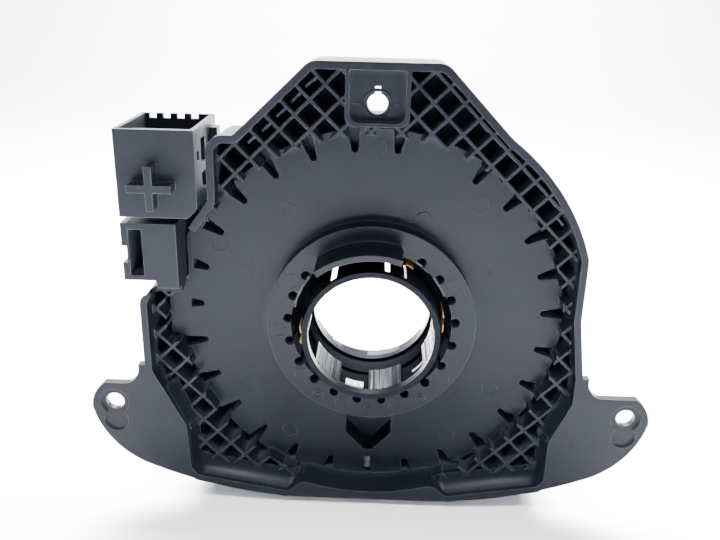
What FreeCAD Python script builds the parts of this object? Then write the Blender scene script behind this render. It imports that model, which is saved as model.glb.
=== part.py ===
import FreeCAD, Part

import math
import os
import re

import Sketcher

# The steering clock spring lies on its back while it is drawn: x to the right, y up the
# dashboard, z towards the column, with the disc's face at z = 0. Each piece is then stood
# up by its placement, so that the column side faces -Y and the wheel side faces +Y.
STANDING = FreeCAD.Placement(FreeCAD.Vector(0, 0, 0), FreeCAD.Rotation(FreeCAD.Vector(1, 0, 0), 90))

SIZES = {
    # rotor hub
    "bore_radius": 20,
    "hub_wall": 1.8,
    "hub_near_end": 15.5,
    "hub_ring_length": 3,
    "window_depth": 19.5,
    "window_angle": 28,
    "window_count": 6,
    "window_first": 15,
    "groove_start": 1,
    "groove_length": 8.5,
    "groove_depth": 1.2,
    "hub_flange_thick": 1.5,
    "drum_wall": 1.6,
    "drum_radius": 26.6,
    # pan and its lip
    "lip_level": 11.5,
    "lip_width": 2.3,
    "pan_wall": 1.7,
    "rib_level": 6,
    "cell_depth": 7,
    "floor_thick": 2,
    "top_half_width": 18.6,
    "top_height": 81.3,
    "left_slope_x": 41.3,
    "left_slope_y": 59.4,
    "left_side_x": 48.1,
    "left_side_low": 40.9,
    "left_step_x": 53.6,
    "left_step_y": 33.4,
    "left_low_x": 71.4,
    "left_low_top": 9.7,
    "left_shelf_side": 58.6,
    "left_shelf_top": 26.5,
    "left_low_end": 16.5,
    "left_waist_x": 61,
    "left_waist_y": 37,
    "right_slope_x": 38.5,
    "right_slope_y": 60.7,
    "right_side_x": 63.8,
    "right_side_y": 25.9,
    "right_bulge_x": 54.3,
    "right_bulge_y": 45,
    "right_flare_y": 5.5,
    "right_low_x": 66.7,
    "right_low_y": 14.3,
    "right_low_end": 24,
    "right_waist_x": 60.4,
    "right_waist_y": 38.3,
    "foot_side_y": 52.8,
    "foot_corner_x": 58.6,
    "foot_corner_y": 56.2,
    "foot_inner_x": 27.2,
    "foot_low": 61.6,
    "foot_step_x": 22.2,
    "foot_step_y": 57.2,
    "foot_middle_y": 60.8,
    "shelf_inner_x": 47,
    "well_bend": 3,
    "well_inner_bend": 4,
    # hollow slopes between the lower walls and the lattice
    "cove_low_width": 5,
    "cove_side_width": 2.4,
    "cove_wall_level": 9.6,
    "cove_middle_level": 6.4,
    "cove_foot_level": 5,
    "cove_bend": 0.45,
    # screw ears
    "ear_thick": 2.9,
    "ear_top_y": 14.4,
    "ear_neck_right": 71.2,
    "ear_neck_left": 75.9,
    "ear_notch_y": 21.5,
    "ear_notch_width": 4.3,
    "ear_corner_x": 87.8,
    "ear_tip_x": 92.4,
    "ear_tip_y": 30.6,
    "ear_under_x": 73.1,
    "ear_under_y": 52.9,
    "ear_bulge_x": 86.9,
    "ear_bulge_y": 42.6,
    "notch_bend": 0.3,
    "shoulder_bend": 0.75,
    "shoulder_drop": 0.45,
    "strip_end_x": 17,
    "strip_y": 63.8,
    "strip_bulge_x": 47,
    "strip_bulge_y": 60.9,
    "ear_hole_x": 84.8,
    "ear_hole_y": 28.6,
    "screw_hole_radius": 3,
    "screw_seat_radius": 4.8,
    "screw_seat_depth": 0.8,
    "seat_lobe_drop": 6.8,
    "seat_lobe_radius": 4,
    # top screw boss
    "boss_half_width": 9.4,
    "boss_low_y": 65.2,
    "boss_hole_y": 71.5,
    "boss_level": 8,
    "boss_rim_width": 1.2,
    "boss_corner": 2.9,
    "boss_key_width": 1.7,
    "boss_key_height": 5,
    "boss_plate": 3,
    # lattice and disc
    "rib_pitch": 6.45,
    "rib_thick": 0.9,
    "lattice_x": -0.71,
    "lattice_y": 6.27,
    "lattice_radius": 61.8,
    "disc_radius": 63,
    "disc_thick": 2,
    "disc_band_radius": 54.6,
    "wedge_count": 27,
    "wedge_tip_radius": 55.6,
    "wedge_half_width": 2.2,
    "wedge_tip_half": 0.95,
    "wedge_tip_bevel": 0.5,
    "joint_overlap": 0.5,
    # flat pad beside the disc
    "side_pad_x": 67.1,
    "side_pad_inner": 60,
    "side_pad_half": 8.2,
    # collar and hood
    "collar_radius": 33.8,
    "collar_level": 7,
    "collar_hole_radius": 26,
    "notch_count": 21,
    "notch_radius": 1.6,
    "notch_offset": 27.1,
    "hood_inner_radius": 27.4,
    "hood_thick": 1.8,
    "hood_level": 21,
    "hood_left": 37,
    "hood_right": 18,
    # recess below the collar
    "pocket_half_width": 7.9,
    "pocket_top_y": 36,
    "pocket_side_y": 44,
    "pocket_neck_y": 51,
    "pocket_neck_half": 1.6,
    "pocket_wall": 1.4,
    "pocket_foot_half": 5.8,
    "keyhole_half_width": 1.2,
    "keyhole_top_y": 53.5,
    "keyhole_low_y": 58.8,
    # cassette, its screws and the retaining ring
    "cassette_thick": 1.5,
    "cassette_radius": 62,
    "flange_cover": 1,
    "cassette_wall_radius": 55.5,
    "cassette_wall": 1.5,
    "cassette_depth": 9.5,
    "screw_circle": 59,
    "screw_radius": 1.5,
    "screw_length": 5,
    "screw_head_radius": 2.6,
    "screw_head_height": 1.8,
    "screw_count": 3,
    "ring_wall": 1.6,
    "ring_overlap": 6,
    "ring_lip_radius": 51,
    "ring_lip_thick": 1.2,
    "plate_thick": 1.5,
    "plate_radius": 53.3,
    "plate_gap": 0.3,
    "wheel_collar_height": 4.5,
    # large connector box
    "box_left_x": 77.5,
    "box_right_x": 53.5,
    "box_low_y": 36.1,
    "box_top_y": 62.9,
    "box_level": 12,
    "box_depth": 31,
    "box_wall": 1.3,
    "box_chamfer": 3.1,
    "box_floor": 9,
    "plus_x": 66.3,
    "plus_y": 46.3,
    "plus_half": 6.6,
    "plus_arm": 2.3,
    "plus_height": 5.5,
    "crenel_width": 2.4,
    "crenel_depth": 1.6,
    "crenel_pitch": 4.6,
    "crenel_count": 4,
    "side_slot_low": 51.5,
    "side_slot_top": 59,
    "side_slot_near": 3.3,
    "side_slot_far": 2,
    "latch_low": 53,
    "latch_top": 56,
    "latch_near": 9,
    "latch_far": 6,
    "vent_low": 43.5,
    "vent_top": 48.5,
    "pin_width": 0.7,
    "pin_length": 9,
    "pin_pitch": 2.5,
    "pin_rows": 2,
    "pins_in_row": 7,
    # lower connector
    "lower_left_x": 78.3,
    "lower_right_x": 61.1,
    "lower_top_y": 33.5,
    "lower_low_y": 12.3,
    "lower_step_y": 14.8,
    "lower_step_x": 68.5,
    "lower_step_run": 1,
    "lower_level": 10,
    "lower_depth": 29,
    "slot_left_x": 76,
    "slot_right_x": 71.8,
    "slot_low_y": 16.4,
    "slot_top_y": 31.5,
    "slot_depth": 12,
    "bite_depth": 1.6,
    "bite_low_y": 20.6,
    "bite_top_y": 26.1,
    "lower_pins": 5,
    "lower_pin_length": 4,
    # sensor gears and board
    "gear_edge_gap": 1.5,
    "drive_teeth": 60,
    "first_teeth": 20,
    "second_teeth": 22,
    "gear_level": 3,
    "gear_thick": 2.5,
    "gear_backlash": 0.16,
    "gear_running_gap": 0.15,
    "tooth_tip": 0.95,
    "tooth_root": 1.25,
    "pressure_angle": 20,
    "axle_radius": 1.5,
    "axle_clearance": 0.05,
    "axle_shoulder": 2.2,
    "axle_end_gap": 0.3,
    "chip_height": 0.8,
    "first_gear_angle": 62,
    "second_gear_angle": 102,
    "magnet_radius": 3,
    "magnet_thick": 1.2,
    "board_thick": 1.2,
    "board_inner": 33,
    "board_edge_gap": 1.6,
    "chip_turn": 9,
    "board_start": 40,
    "board_end": 128,
    # pieces in the windows and in the gap round the hub
    "block_width": 7,
    "block_thick": 3.4,
    "block_height": 5.2,
    "tab_radius": 23.3,
    "tab_thick": 0.3,
    "tab_width": 2.6,
    "tab_height": 8,
    # sockets on the wheel side
    "socket_width": 30,
    "socket_height": 11,
    "socket_depth": 12,
    "socket_wall": 1.2,
    "socket_y": 38,
    "airbag_width": 18,
    "airbag_height": 10,
    "airbag_y": 37,
    "socket_pin_length": 8,
    # ribbon cable
    "ribbon_thick": 0.4,
    "ribbon_turns": 4,
    "ribbon_gap": 0.4,
}


def fill_sheet(sheet):
    """Writes each size into the sheet under its own name."""
    for row, (name, number) in enumerate(SIZES.items(), start=1):
        sheet.set(f"A{row}", name)
        sheet.set(f"B{row}", str(number))
        sheet.setAlias(f"B{row}", name)


doc = FreeCAD.newDocument("ClockSpring")
sheet = doc.addObject("Spreadsheet::Sheet", "Sizes")
fill_sheet(sheet)
doc.recompute()
NODES = []


def bound(text):
    """Turns words of an expression into the sheet's cells."""
    return re.sub(r"[a-z_]{4,}", lambda word: "Sizes." + word[0] if word[0] in SIZES else word[0], text)


def size(text):
    """The number that an expression of the sheet's words has now."""
    return float(sheet.evalExpression(bound(text)))


def bind(thing, path, text):
    """Ties one property of an object to the sheet."""
    thing.setExpression(path, bound(text))


def at(x, y, z=0.0):
    """A point, from numbers or expressions."""
    return FreeCAD.Vector(*(size(part) if isinstance(part, str) else part for part in (x, y, z)))


def turned(radius, angle):
    """The x and y expressions of a point at an angle clockwise from the top."""
    return f"({radius}) * sin(({angle}) * 1deg)", f"({radius}) * cos(({angle}) * 1deg)"


def pin_point(sketch, shape, end, x, y):
    """Ties one point of a sketch to the sheet, along x and along y."""
    for kind, text in (("DistanceX", x), ("DistanceY", y)):
        number = sketch.addConstraint(Sketcher.Constraint(kind, -1, 1, shape, end, size(text)))
        sketch.setExpression(f"Constraints[{number}]", bound(text))


def draw_outline(sketch, corners):
    """Draws a closed outline; a corner is (x, y) and an arc's middle is ("arc", x, y)."""
    points = [corner for corner in corners if corner[0] != "arc"]
    bulges = {}
    for place, corner in enumerate(corners):
        if corner[0] == "arc":
            bulges[sum(1 for before in corners[:place] if before[0] != "arc") - 1] = corner[1:]
    first = sketch.GeometryCount
    ends = []
    for number, start in enumerate(points):
        stop = points[(number + 1) % len(points)]
        if number in bulges:
            middle = at(*bulges[number])
            arc = Part.Arc(at(*start), middle, at(*stop))
            shape = sketch.addGeometry(arc, False)
            near_start = sketch.getPoint(shape, 1).distanceToPoint(at(*start))
            ends.append((1, 2) if near_start < 1e-6 else (2, 1))
        else:
            sketch.addGeometry(Part.LineSegment(at(*start), at(*stop)), False)
            ends.append((1, 2))
    for number in range(len(points)):
        after = (number + 1) % len(points)
        join = (first + number, ends[number][1], first + after, ends[after][0])
        sketch.addConstraint(Sketcher.Constraint("Coincident", *join))
    for number, (x, y) in enumerate(points):
        pin_point(sketch, first + number, ends[number][0], x, y)
    for number, (x, y) in bulges.items():
        mark = sketch.addGeometry(Part.Point(at(x, y)), True)
        pin_point(sketch, mark, 1, x, y)
        sketch.addConstraint(Sketcher.Constraint("PointOnObject", mark, 1, first + number))


def draw_circle(sketch, x, y, radius):
    """Draws a circle with its centre and radius tied to the sheet."""
    shape = sketch.addGeometry(Part.Circle(at(x, y), FreeCAD.Vector(0, 0, 1), size(radius)), False)
    pin_point(sketch, shape, 3, x, y)
    number = sketch.addConstraint(Sketcher.Constraint("Radius", shape, size(radius)))
    sketch.setExpression(f"Constraints[{number}]", bound(radius))


def draw(sketch, loops):
    """Draws outlines and ("circle", x, y, radius) loops into one sketch."""
    for loop in loops:
        if loop[0] == "circle":
            draw_circle(sketch, *loop[1:])
        else:
            draw_outline(sketch, loop)
    doc.recompute()
    return sketch


def origin_part(body, role):
    """The body's own origin plane or axis."""
    return [feature for feature in body.Origin.OriginFeatures if feature.Role == role][0]


def new_body(label):
    """A body that is stood up into the car's frame."""
    body = doc.addObject("PartDesign::Body", label)
    body.Label = label
    body.Placement = STANDING
    return body


def body_sketch(body, name, level, loops, role="XY_Plane"):
    """A sketch on one of the body's origin planes, moved along it by the level."""
    sketch = body.newObject("Sketcher::SketchObject", name)
    sketch.AttachmentSupport = [(origin_part(body, role), "")]
    sketch.MapMode = "FlatFace"
    bind(sketch, ".AttachmentOffset.Base.z", level)
    return draw(sketch, loops)


def feature(body, kind, name, sketch, length, reverse=False):
    """A pad or pocket of a sketch; a pad adds and a pocket cuts, each checked by volume."""
    before = body.Shape.Volume if body.Tip else 0.0
    made = body.newObject(f"PartDesign::{kind}", name)
    made.Profile = sketch
    made.Reversed = reverse
    bind(made, "Length", length)
    doc.recompute()
    change = body.Shape.Volume - before
    if (change <= 0) if kind == "Pad" else (change >= 0):
        raise ValueError(f"{name} changes nothing")
    return made


def pad(body, name, level, loops, length):
    """Adds material from the level towards the column."""
    return feature(body, "Pad", name, body_sketch(body, name + "_sketch", level, loops), length)


def pocket(body, name, level, loops, length):
    """Cuts from the level away from the column."""
    return feature(body, "Pocket", name, body_sketch(body, name + "_sketch", level, loops), length)


def polar(body, name, original, count, angle):
    """Repeats a feature round the bore's axis, the total angle tied to the sheet."""
    pattern = body.newObject("PartDesign::PolarPattern", name)
    pattern.Originals = [original]
    pattern.Axis = (origin_part(body, "Z_Axis"), [""])
    bind(pattern, "Occurrences", count)
    bind(pattern, "Angle", angle)
    body.Tip = pattern
    doc.recompute()
    return pattern


def extrude(name, sketch, level, length):
    """A solid of a free sketch, from the level towards the column."""
    solid = doc.addObject("Part::Extrusion", name)
    solid.Base = sketch
    solid.DirMode = "Custom"
    solid.Dir = FreeCAD.Vector(0, 0, 1)
    solid.Solid = True
    bind(solid, "LengthFwd", length)
    bind(solid, ".Placement.Base.z", level)
    return solid


def free_sketch(name, loops):
    """A sketch that belongs to no body."""
    return draw(doc.addObject("Sketcher::SketchObject", name), loops)


def offset(name, source, width):
    """An outline set outside another one by a constant width."""
    outline = doc.addObject("Part::Offset2D", name)
    outline.Source = source
    outline.Join = "Arc"
    outline.Fill = False
    bind(outline, "Value", width)
    return outline


def cylinder(name, level, height, radius, x="0", y="0"):
    """A round bar along the bore's axis."""
    bar = doc.addObject("Part::Cylinder", name)
    bind(bar, "Radius", radius)
    bind(bar, "Height", height)
    bind(bar, ".Placement.Base.x", x)
    bind(bar, ".Placement.Base.y", y)
    bind(bar, ".Placement.Base.z", level)
    return bar


def boolean(kind, name, pieces, stand=False):
    """A cut, fuse or common of several objects."""
    made = doc.addObject(f"Part::{kind}", name)
    if kind in ("Cut", "Common"):
        made.Base, made.Tool = pieces
    else:
        made.Shapes = pieces
    if stand:
        made.Placement = STANDING
    return made


def keep(piece, label):
    """Names a finished piece and adds it to the list of nodes."""
    piece.Label = label
    NODES.append(piece)
    return piece


def mirrored(corners):
    """The same outline on the other side of the middle, drawn the other way round."""
    flipped = []
    for corner in corners:
        if corner[0] == "arc":
            flipped.append(("arc", f"-({corner[1]})", corner[2]))
        else:
            flipped.append((f"-({corner[0]})", corner[1]))
    return flipped


def rectangle(left, low, right, top):
    """A rectangle's four corners."""
    return [(left, low), (right, low), (right, top), (left, top)]


PAN_BACK = "-(cell_depth + floor_thick)"
CASSETTE_BACK = "-(cell_depth + floor_thick + cassette_thick)"
WALL_END = "-(cell_depth + floor_thick + cassette_thick + cassette_depth)"
FLANGE_RADIUS = "(drum_radius - drum_wall)"
GEAR_REACH = "(disc_band_radius - gear_edge_gap - gear_running_gap)"
GEAR_MODULE = f"({GEAR_REACH} / (drive_teeth / 2 + second_teeth + tooth_tip))"
GEARS = (("first", "first_teeth", "first_gear_angle"), ("second", "second_teeth", "second_gear_angle"))
CORNER_SHARE = "(1 - 1 / sqrt(2))"
TAB_ANGLES = (-42, 30, 92, 166, -97, -112)
BLOCK_WINDOWS = (3, 2)


def well_corners():
    """The inner edge of the pan's wall, clockwise from the top left."""
    return [
        ("-top_half_width", "top_height"),
        ("top_half_width", "top_height"),
        ("right_slope_x", "right_slope_y"),
        ("arc", "right_bulge_x", "right_bulge_y"),
        ("right_side_x", "right_side_y"),
        ("right_side_x", "right_flare_y"),
        ("right_low_x", "-right_low_y"),
        ("right_low_x", "-right_low_end"),
        ("right_waist_x", "-right_waist_y"),
        ("right_waist_x", "-foot_side_y"),
        ("foot_corner_x", "-foot_corner_y"),
        ("foot_inner_x", "-foot_low"),
        ("foot_step_x", "-foot_step_y"),
        ("arc", "0", "-foot_middle_y"),
        ("-foot_step_x", "-foot_step_y"),
        ("-foot_inner_x", "-foot_low"),
        ("-foot_corner_x", "-foot_corner_y"),
        ("-right_waist_x", "-foot_side_y"),
        ("-left_waist_x", "-left_waist_y"),
        ("-left_low_x", "-left_low_end"),
        ("-left_low_x", "left_low_top"),
        ("-left_shelf_side", "left_low_top"),
        ("-left_shelf_side", "left_shelf_top"),
        ("-left_step_x", "left_step_y"),
        ("-left_side_x", "left_side_low"),
        ("-left_side_x", "left_slope_y"),
        ("-left_slope_x", "left_slope_y"),
    ]


def blend(start, stop, share):
    """Minus the value that lies a share of the way from one size to another."""
    return f"-((1 - {share}) * {start} + {share} * {stop})"


def ear_corners(neck):
    """The right ear and its half of the foot strip."""
    return [
        ("0", "-ear_top_y"),
        (neck, "-ear_top_y"),
        ("arc", f"{neck} + notch_bend * ear_notch_width", blend("ear_notch_y", "ear_top_y", "notch_bend")),
        (f"{neck} + ear_notch_width", "-ear_notch_y"),
        ("ear_corner_x", "-ear_notch_y"),
        (
            "arc",
            f"-({blend('ear_corner_x', 'ear_tip_x', 'shoulder_bend')})",
            blend("ear_notch_y", "ear_tip_y", "shoulder_drop"),
        ),
        ("ear_tip_x", "-ear_tip_y"),
        ("arc", "ear_bulge_x", "-ear_bulge_y"),
        ("ear_under_x", "-ear_under_y"),
        ("arc", "strip_bulge_x", "-strip_bulge_y"),
        ("strip_end_x", "-strip_y"),
        ("0", "-strip_y"),
    ]


def make_flange(well):
    """The flat column-side face: the lip all round, the two ears and the foot strip."""
    lip = extrude("lip_band", offset("lip_outline", well, "lip_width"), "lip_level - ear_thick", "ear_thick")
    ears = []
    for side, corners in (
        ("right", ear_corners("ear_neck_right")),
        ("left", mirrored(ear_corners("ear_neck_left"))),
    ):
        outline = free_sketch(f"{side}_ear_sketch", [corners])
        ears.append(extrude(f"{side}_ear", outline, "lip_level - ear_thick", "ear_thick"))
    return [lip] + ears


def make_ear_cuts():
    """The screw holes of the ears and the two-lobed seats round them."""
    cuts = []
    for side, sign in (("right", ""), ("left", "-")):
        x = f"{sign}ear_hole_x"
        seat = "lip_level - screw_seat_depth"
        lobe = "-(ear_hole_y + seat_lobe_drop)"
        cuts.append(cylinder(f"{side}_hole", "0", "2 * lip_level", "screw_hole_radius", x, "-ear_hole_y"))
        cuts.append(cylinder(f"{side}_seat", seat, "lip_level", "screw_seat_radius", x, "-ear_hole_y"))
        cuts.append(cylinder(f"{side}_lobe", seat, "lip_level", "seat_lobe_radius", x, lobe))
    return cuts


def make_lattice(well):
    """Thin diamond ribs between the disc's edge and the wall, on one grid at 45 degrees."""
    well_face = Part.Face(Part.Wire(Part.__sortEdges__(well.Shape.Edges)))
    disc_face = Part.Face(Part.Wire(Part.makeCircle(size("lattice_radius"))))
    region = well_face.cut(disc_face)
    pitch = size("rib_pitch")
    half = (pitch - size("rib_thick")) / 2
    step = pitch * math.sqrt(2)
    reach = int(2 * size("ear_tip_x") / step)
    middle = FreeCAD.Vector(size("lattice_x + lattice_y") / 2, size("lattice_y - lattice_x") / 2, 0)
    reach_out = half * math.sqrt(2)
    turns = ((1, 0), (0, 1), (-1, 0), (0, -1), (1, 0))
    diamond = [FreeCAD.Vector(reach_out * x, reach_out * y, 0) for x, y in turns]
    cells = []
    inner = size("lattice_radius - rib_pitch")
    bounds = well_face.BoundBox
    for across in range(-2 * reach, 2 * reach):
        for up in range(-2 * reach, 2 * reach):
            if (across + up) % 2 == 0:
                continue
            centre = middle + FreeCAD.Vector(across * step / 2, up * step / 2, 0)
            if centre.Length < inner or not bounds.isInside(FreeCAD.Vector(centre.x, centre.y, 0)):
                continue
            cells.append(Part.Face(Part.makePolygon([centre + corner for corner in diamond])))
    ribs = region.cut(cells)
    solid = doc.addObject("Part::Feature", "lattice")
    solid.Shape = ribs.extrude(FreeCAD.Vector(0, 0, size("rib_level + cell_depth")))
    solid.Placement = FreeCAD.Placement(at(0, 0, "-cell_depth"), FreeCAD.Rotation())
    return solid


def make_boss():
    """The top screw boss: a filled corner of the lattice with a raised U round its face."""
    def panel(inset):
        side = f"boss_half_width - {inset}"
        low = f"boss_low_y + {inset}"
        return [
            (f"-({side})", "top_height"),
            (side, "top_height"),
            (side, f"{low} + boss_corner"),
            ("arc", f"{side} - {CORNER_SHARE} * boss_corner", f"{low} + {CORNER_SHARE} * boss_corner"),
            (f"{side} - boss_corner", low),
            (f"-({side} - boss_corner)", low),
            ("arc", f"-({side} - {CORNER_SHARE} * boss_corner)", f"{low} + {CORNER_SHARE} * boss_corner"),
            (f"-({side})", f"{low} + boss_corner"),
        ]
    outline = free_sketch("boss_sketch", [panel("0")])
    block = extrude("boss_block", outline, PAN_BACK, f"lip_level - ({PAN_BACK})")
    inside = free_sketch("boss_hollow_sketch", [panel("boss_rim_width")])
    hollow = extrude("boss_hollow", inside, "boss_level", "lip_level")
    room_outline = rectangle(
        "-(boss_half_width - pan_wall)", "boss_low_y + pan_wall", "boss_half_width - pan_wall", "top_height")
    room = extrude(
        "boss_room",
        free_sketch("boss_room_sketch", [room_outline]),
        "-2 * lip_level",
        "2 * lip_level + boss_level - boss_plate",
    )
    hole = cylinder("boss_hole", "-2 * lip_level", "4 * lip_level", "screw_hole_radius", "0", "boss_hole_y")
    key = extrude(
        "boss_key",
        free_sketch("boss_key_sketch", [rectangle(
            "-boss_key_width / 2", "boss_hole_y", "boss_key_width / 2", "boss_hole_y + boss_key_height")]),
        "-2 * lip_level",
        "4 * lip_level",
    )
    return block, [hollow, room, hole, key]


def wedge_corners(angle):
    """A recess in the disc's edge with a blunt point towards the bore, at an angle from the top."""
    shoulder = "wedge_tip_radius + wedge_tip_bevel"
    far = "disc_radius + joint_overlap"
    return [
        turned("wedge_tip_radius", angle),
        turned(shoulder, f"{angle} + wedge_tip_half / wedge_tip_radius * 180 / pi"),
        turned(far, f"{angle} + wedge_half_width / disc_radius * 180 / pi"),
        turned(far, f"{angle} - wedge_half_width / disc_radius * 180 / pi"),
        turned(shoulder, f"{angle} - wedge_tip_half / wedge_tip_radius * 180 / pi"),
    ]


def make_disc():
    """The round floor with wedge recesses in its edge, the notched collar and the hood."""
    body = new_body("disc")
    body.Placement = FreeCAD.Placement()
    middle = ("circle", "0", "0", "collar_hole_radius")
    pad(body, "disc_floor", "-disc_thick", [("circle", "0", "0", "disc_radius"), middle], "disc_thick")
    rim = [("circle", "0", "0", "disc_radius"), ("circle", "0", "0", "disc_band_radius")]
    pad(body, "disc_band", PAN_BACK, rim, f"-({PAN_BACK})")
    collar = [("circle", "0", "0", "collar_radius"), middle]
    pad(body, "collar", "-disc_thick", collar, "disc_thick + collar_level")
    well = [
        ("-(pocket_half_width + pocket_wall)", "-(collar_radius - pocket_wall)"),
        ("pocket_half_width + pocket_wall", "-(collar_radius - pocket_wall)"),
        ("pocket_half_width + pocket_wall", "-(pocket_side_y + pocket_wall)"),
        ("pocket_foot_half", "-(disc_band_radius + joint_overlap)"),
        ("-pocket_foot_half", "-(disc_band_radius + joint_overlap)"),
        ("-(pocket_half_width + pocket_wall)", "-(pocket_side_y + pocket_wall)"),
    ]
    pad(body, "pocket_walls", PAN_BACK, [well], f"-({PAN_BACK})")
    for side, first in (("right", "180 / wedge_count"), ("left", "180 + 360 / wedge_count")):
        cut = pocket(body, f"{side}_wedge", "lip_level", [wedge_corners(first)], "lip_level + cell_depth")
        polar(body, f"{side}_wedges", cut, "(wedge_count - 1) / 2", "180 - 540 / wedge_count")
    hole = ("circle", "0", "notch_offset", "notch_radius")
    notch = pocket(body, "notch", "lip_level", [hole], "2 * lip_level")
    polar(body, "notches", notch, "notch_count", "360")
    pentagon = [
        ("-pocket_half_width", "-pocket_top_y"),
        ("pocket_half_width", "-pocket_top_y"),
        ("pocket_half_width", "-pocket_side_y"),
        ("pocket_neck_half", "-pocket_neck_y"),
        ("-pocket_neck_half", "-pocket_neck_y"),
        ("-pocket_half_width", "-pocket_side_y"),
    ]
    pocket(body, "pentagon", "lip_level", [pentagon], "2 * lip_level")
    outer = "hood_inner_radius + hood_thick"
    hood = [
        turned("hood_inner_radius", "-hood_left"),
        ("arc", *turned("hood_inner_radius", "(hood_right - hood_left) / 2")),
        turned("hood_inner_radius", "hood_right"),
        turned(outer, "hood_right"),
        ("arc", *turned(outer, "(hood_right - hood_left) / 2")),
        turned(outer, "-hood_left"),
    ]
    pad(body, "hood", "collar_level", [hood], "hood_level - collar_level")
    return body


def make_shelf_cuts():
    """The wall ends at the disc's level beside the lower connector, and is low below it."""
    inner = "-(left_shelf_side - joint_overlap)"
    outer = "-(left_shelf_side + lip_width + joint_overlap)"
    gap = [
        (outer, "left_low_top"),
        (inner, "left_low_top"),
        (inner, "left_shelf_top"),
        ("-left_step_x", "left_step_y - lip_width"),
        ("-(left_step_x + 2 * lip_width)", "left_step_y + joint_overlap"),
        (outer, "left_shelf_top + lip_width"),
    ]
    low = rectangle(
        "-(left_low_x + 2 * lip_width)", "left_low_top - joint_overlap",
        "-(left_shelf_side - joint_overlap)", "left_low_top + 2 * lip_width")
    return [
        extrude("shelf_gap", free_sketch("shelf_gap_sketch", [gap]), "0", "2 * lip_level"),
        extrude("shelf_step", free_sketch("shelf_step_sketch", [low]), "rib_level", "lip_level"),
    ]


def make_shelf():
    """The flat shelf at the disc's level between the disc's edge and the lower connector."""
    edge = "-(left_shelf_side + joint_overlap)"
    corner = "-(left_step_x + joint_overlap)"
    outline = free_sketch("shelf_sketch", [[
        (edge, "left_low_top"),
        ("-shelf_inner_x", "left_low_top"),
        ("-shelf_inner_x", "left_step_y"),
        (corner, "left_step_y"),
        (edge, "left_shelf_top"),
    ]])
    block = extrude("shelf_block", outline, "-cell_depth", "cell_depth")
    round_floor = cylinder("shelf_disc", "-2 * cell_depth", "4 * cell_depth", "disc_radius - joint_overlap")
    above = extrude("above_shelf", outline, "0", "2 * rib_level")
    return boolean("Cut", "shelf", (block, round_floor)), above


def cove_prism(start, stop, width):
    """A bar along one wall whose top falls in a hollow slope from the wall to the lattice."""
    along = stop - start
    inward = FreeCAD.Vector(along.y, -along.x, 0).normalize()
    past = FreeCAD.Vector(along).normalize() * size("cove_side_width / 2")
    floor = -size("cell_depth")
    profile = (
        (-size("joint_overlap"), floor),
        (width, floor),
        (width, size("cove_foot_level")),
        (width * size("cove_bend"), size("cove_middle_level")),
        (0, size("cove_wall_level")),
        (-size("joint_overlap"), size("cove_wall_level")),
    )
    corners = [start - past + inward * away + FreeCAD.Vector(0, 0, level) for away, level in profile]
    return Part.Face(Part.makePolygon(corners + corners[:1])).extrude(along + past * 2)


def make_coves(well):
    """The hollow slopes at the foot of the lower walls, kept inside the pan."""
    edges = (
        (("right_low_x", "right_low_end"), ("right_waist_x", "right_waist_y"), "cove_side_width"),
        (("right_waist_x", "right_waist_y"), ("right_waist_x", "foot_side_y"), "cove_side_width"),
        (("right_waist_x", "foot_side_y"), ("foot_corner_x", "foot_corner_y"), "cove_side_width"),
        (("foot_corner_x", "foot_corner_y"), ("foot_inner_x", "foot_low"), "cove_low_width"),
    )
    bars = []
    for (x_start, y_start), (x_stop, y_stop), width in edges:
        bars.append(cove_prism(at(x_start, f"-{y_start}"), at(x_stop, f"-{y_stop}"), size(width)))
    flip = FreeCAD.Matrix()
    flip.A11 = -1
    bars += [bar.transformGeometry(flip) for bar in bars]
    slopes = doc.addObject("Part::Feature", "slopes")
    slopes.Shape = bars[0].multiFuse(bars[1:])
    inside = extrude("cove_reach", well, "-cell_depth", "lip_level + cell_depth")
    return boolean("Common", "coves", (slopes, inside))


def rounded_well():
    """The inner edge of the pan's wall with its outward and inward corners rounded."""
    sharp = free_sketch("well_sketch", [well_corners()])
    inside = offset("well_inside", sharp, "-well_bend")
    outside = offset("well_outside", inside, "well_bend + well_inner_bend")
    return offset("well", outside, "-well_inner_bend")


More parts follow.
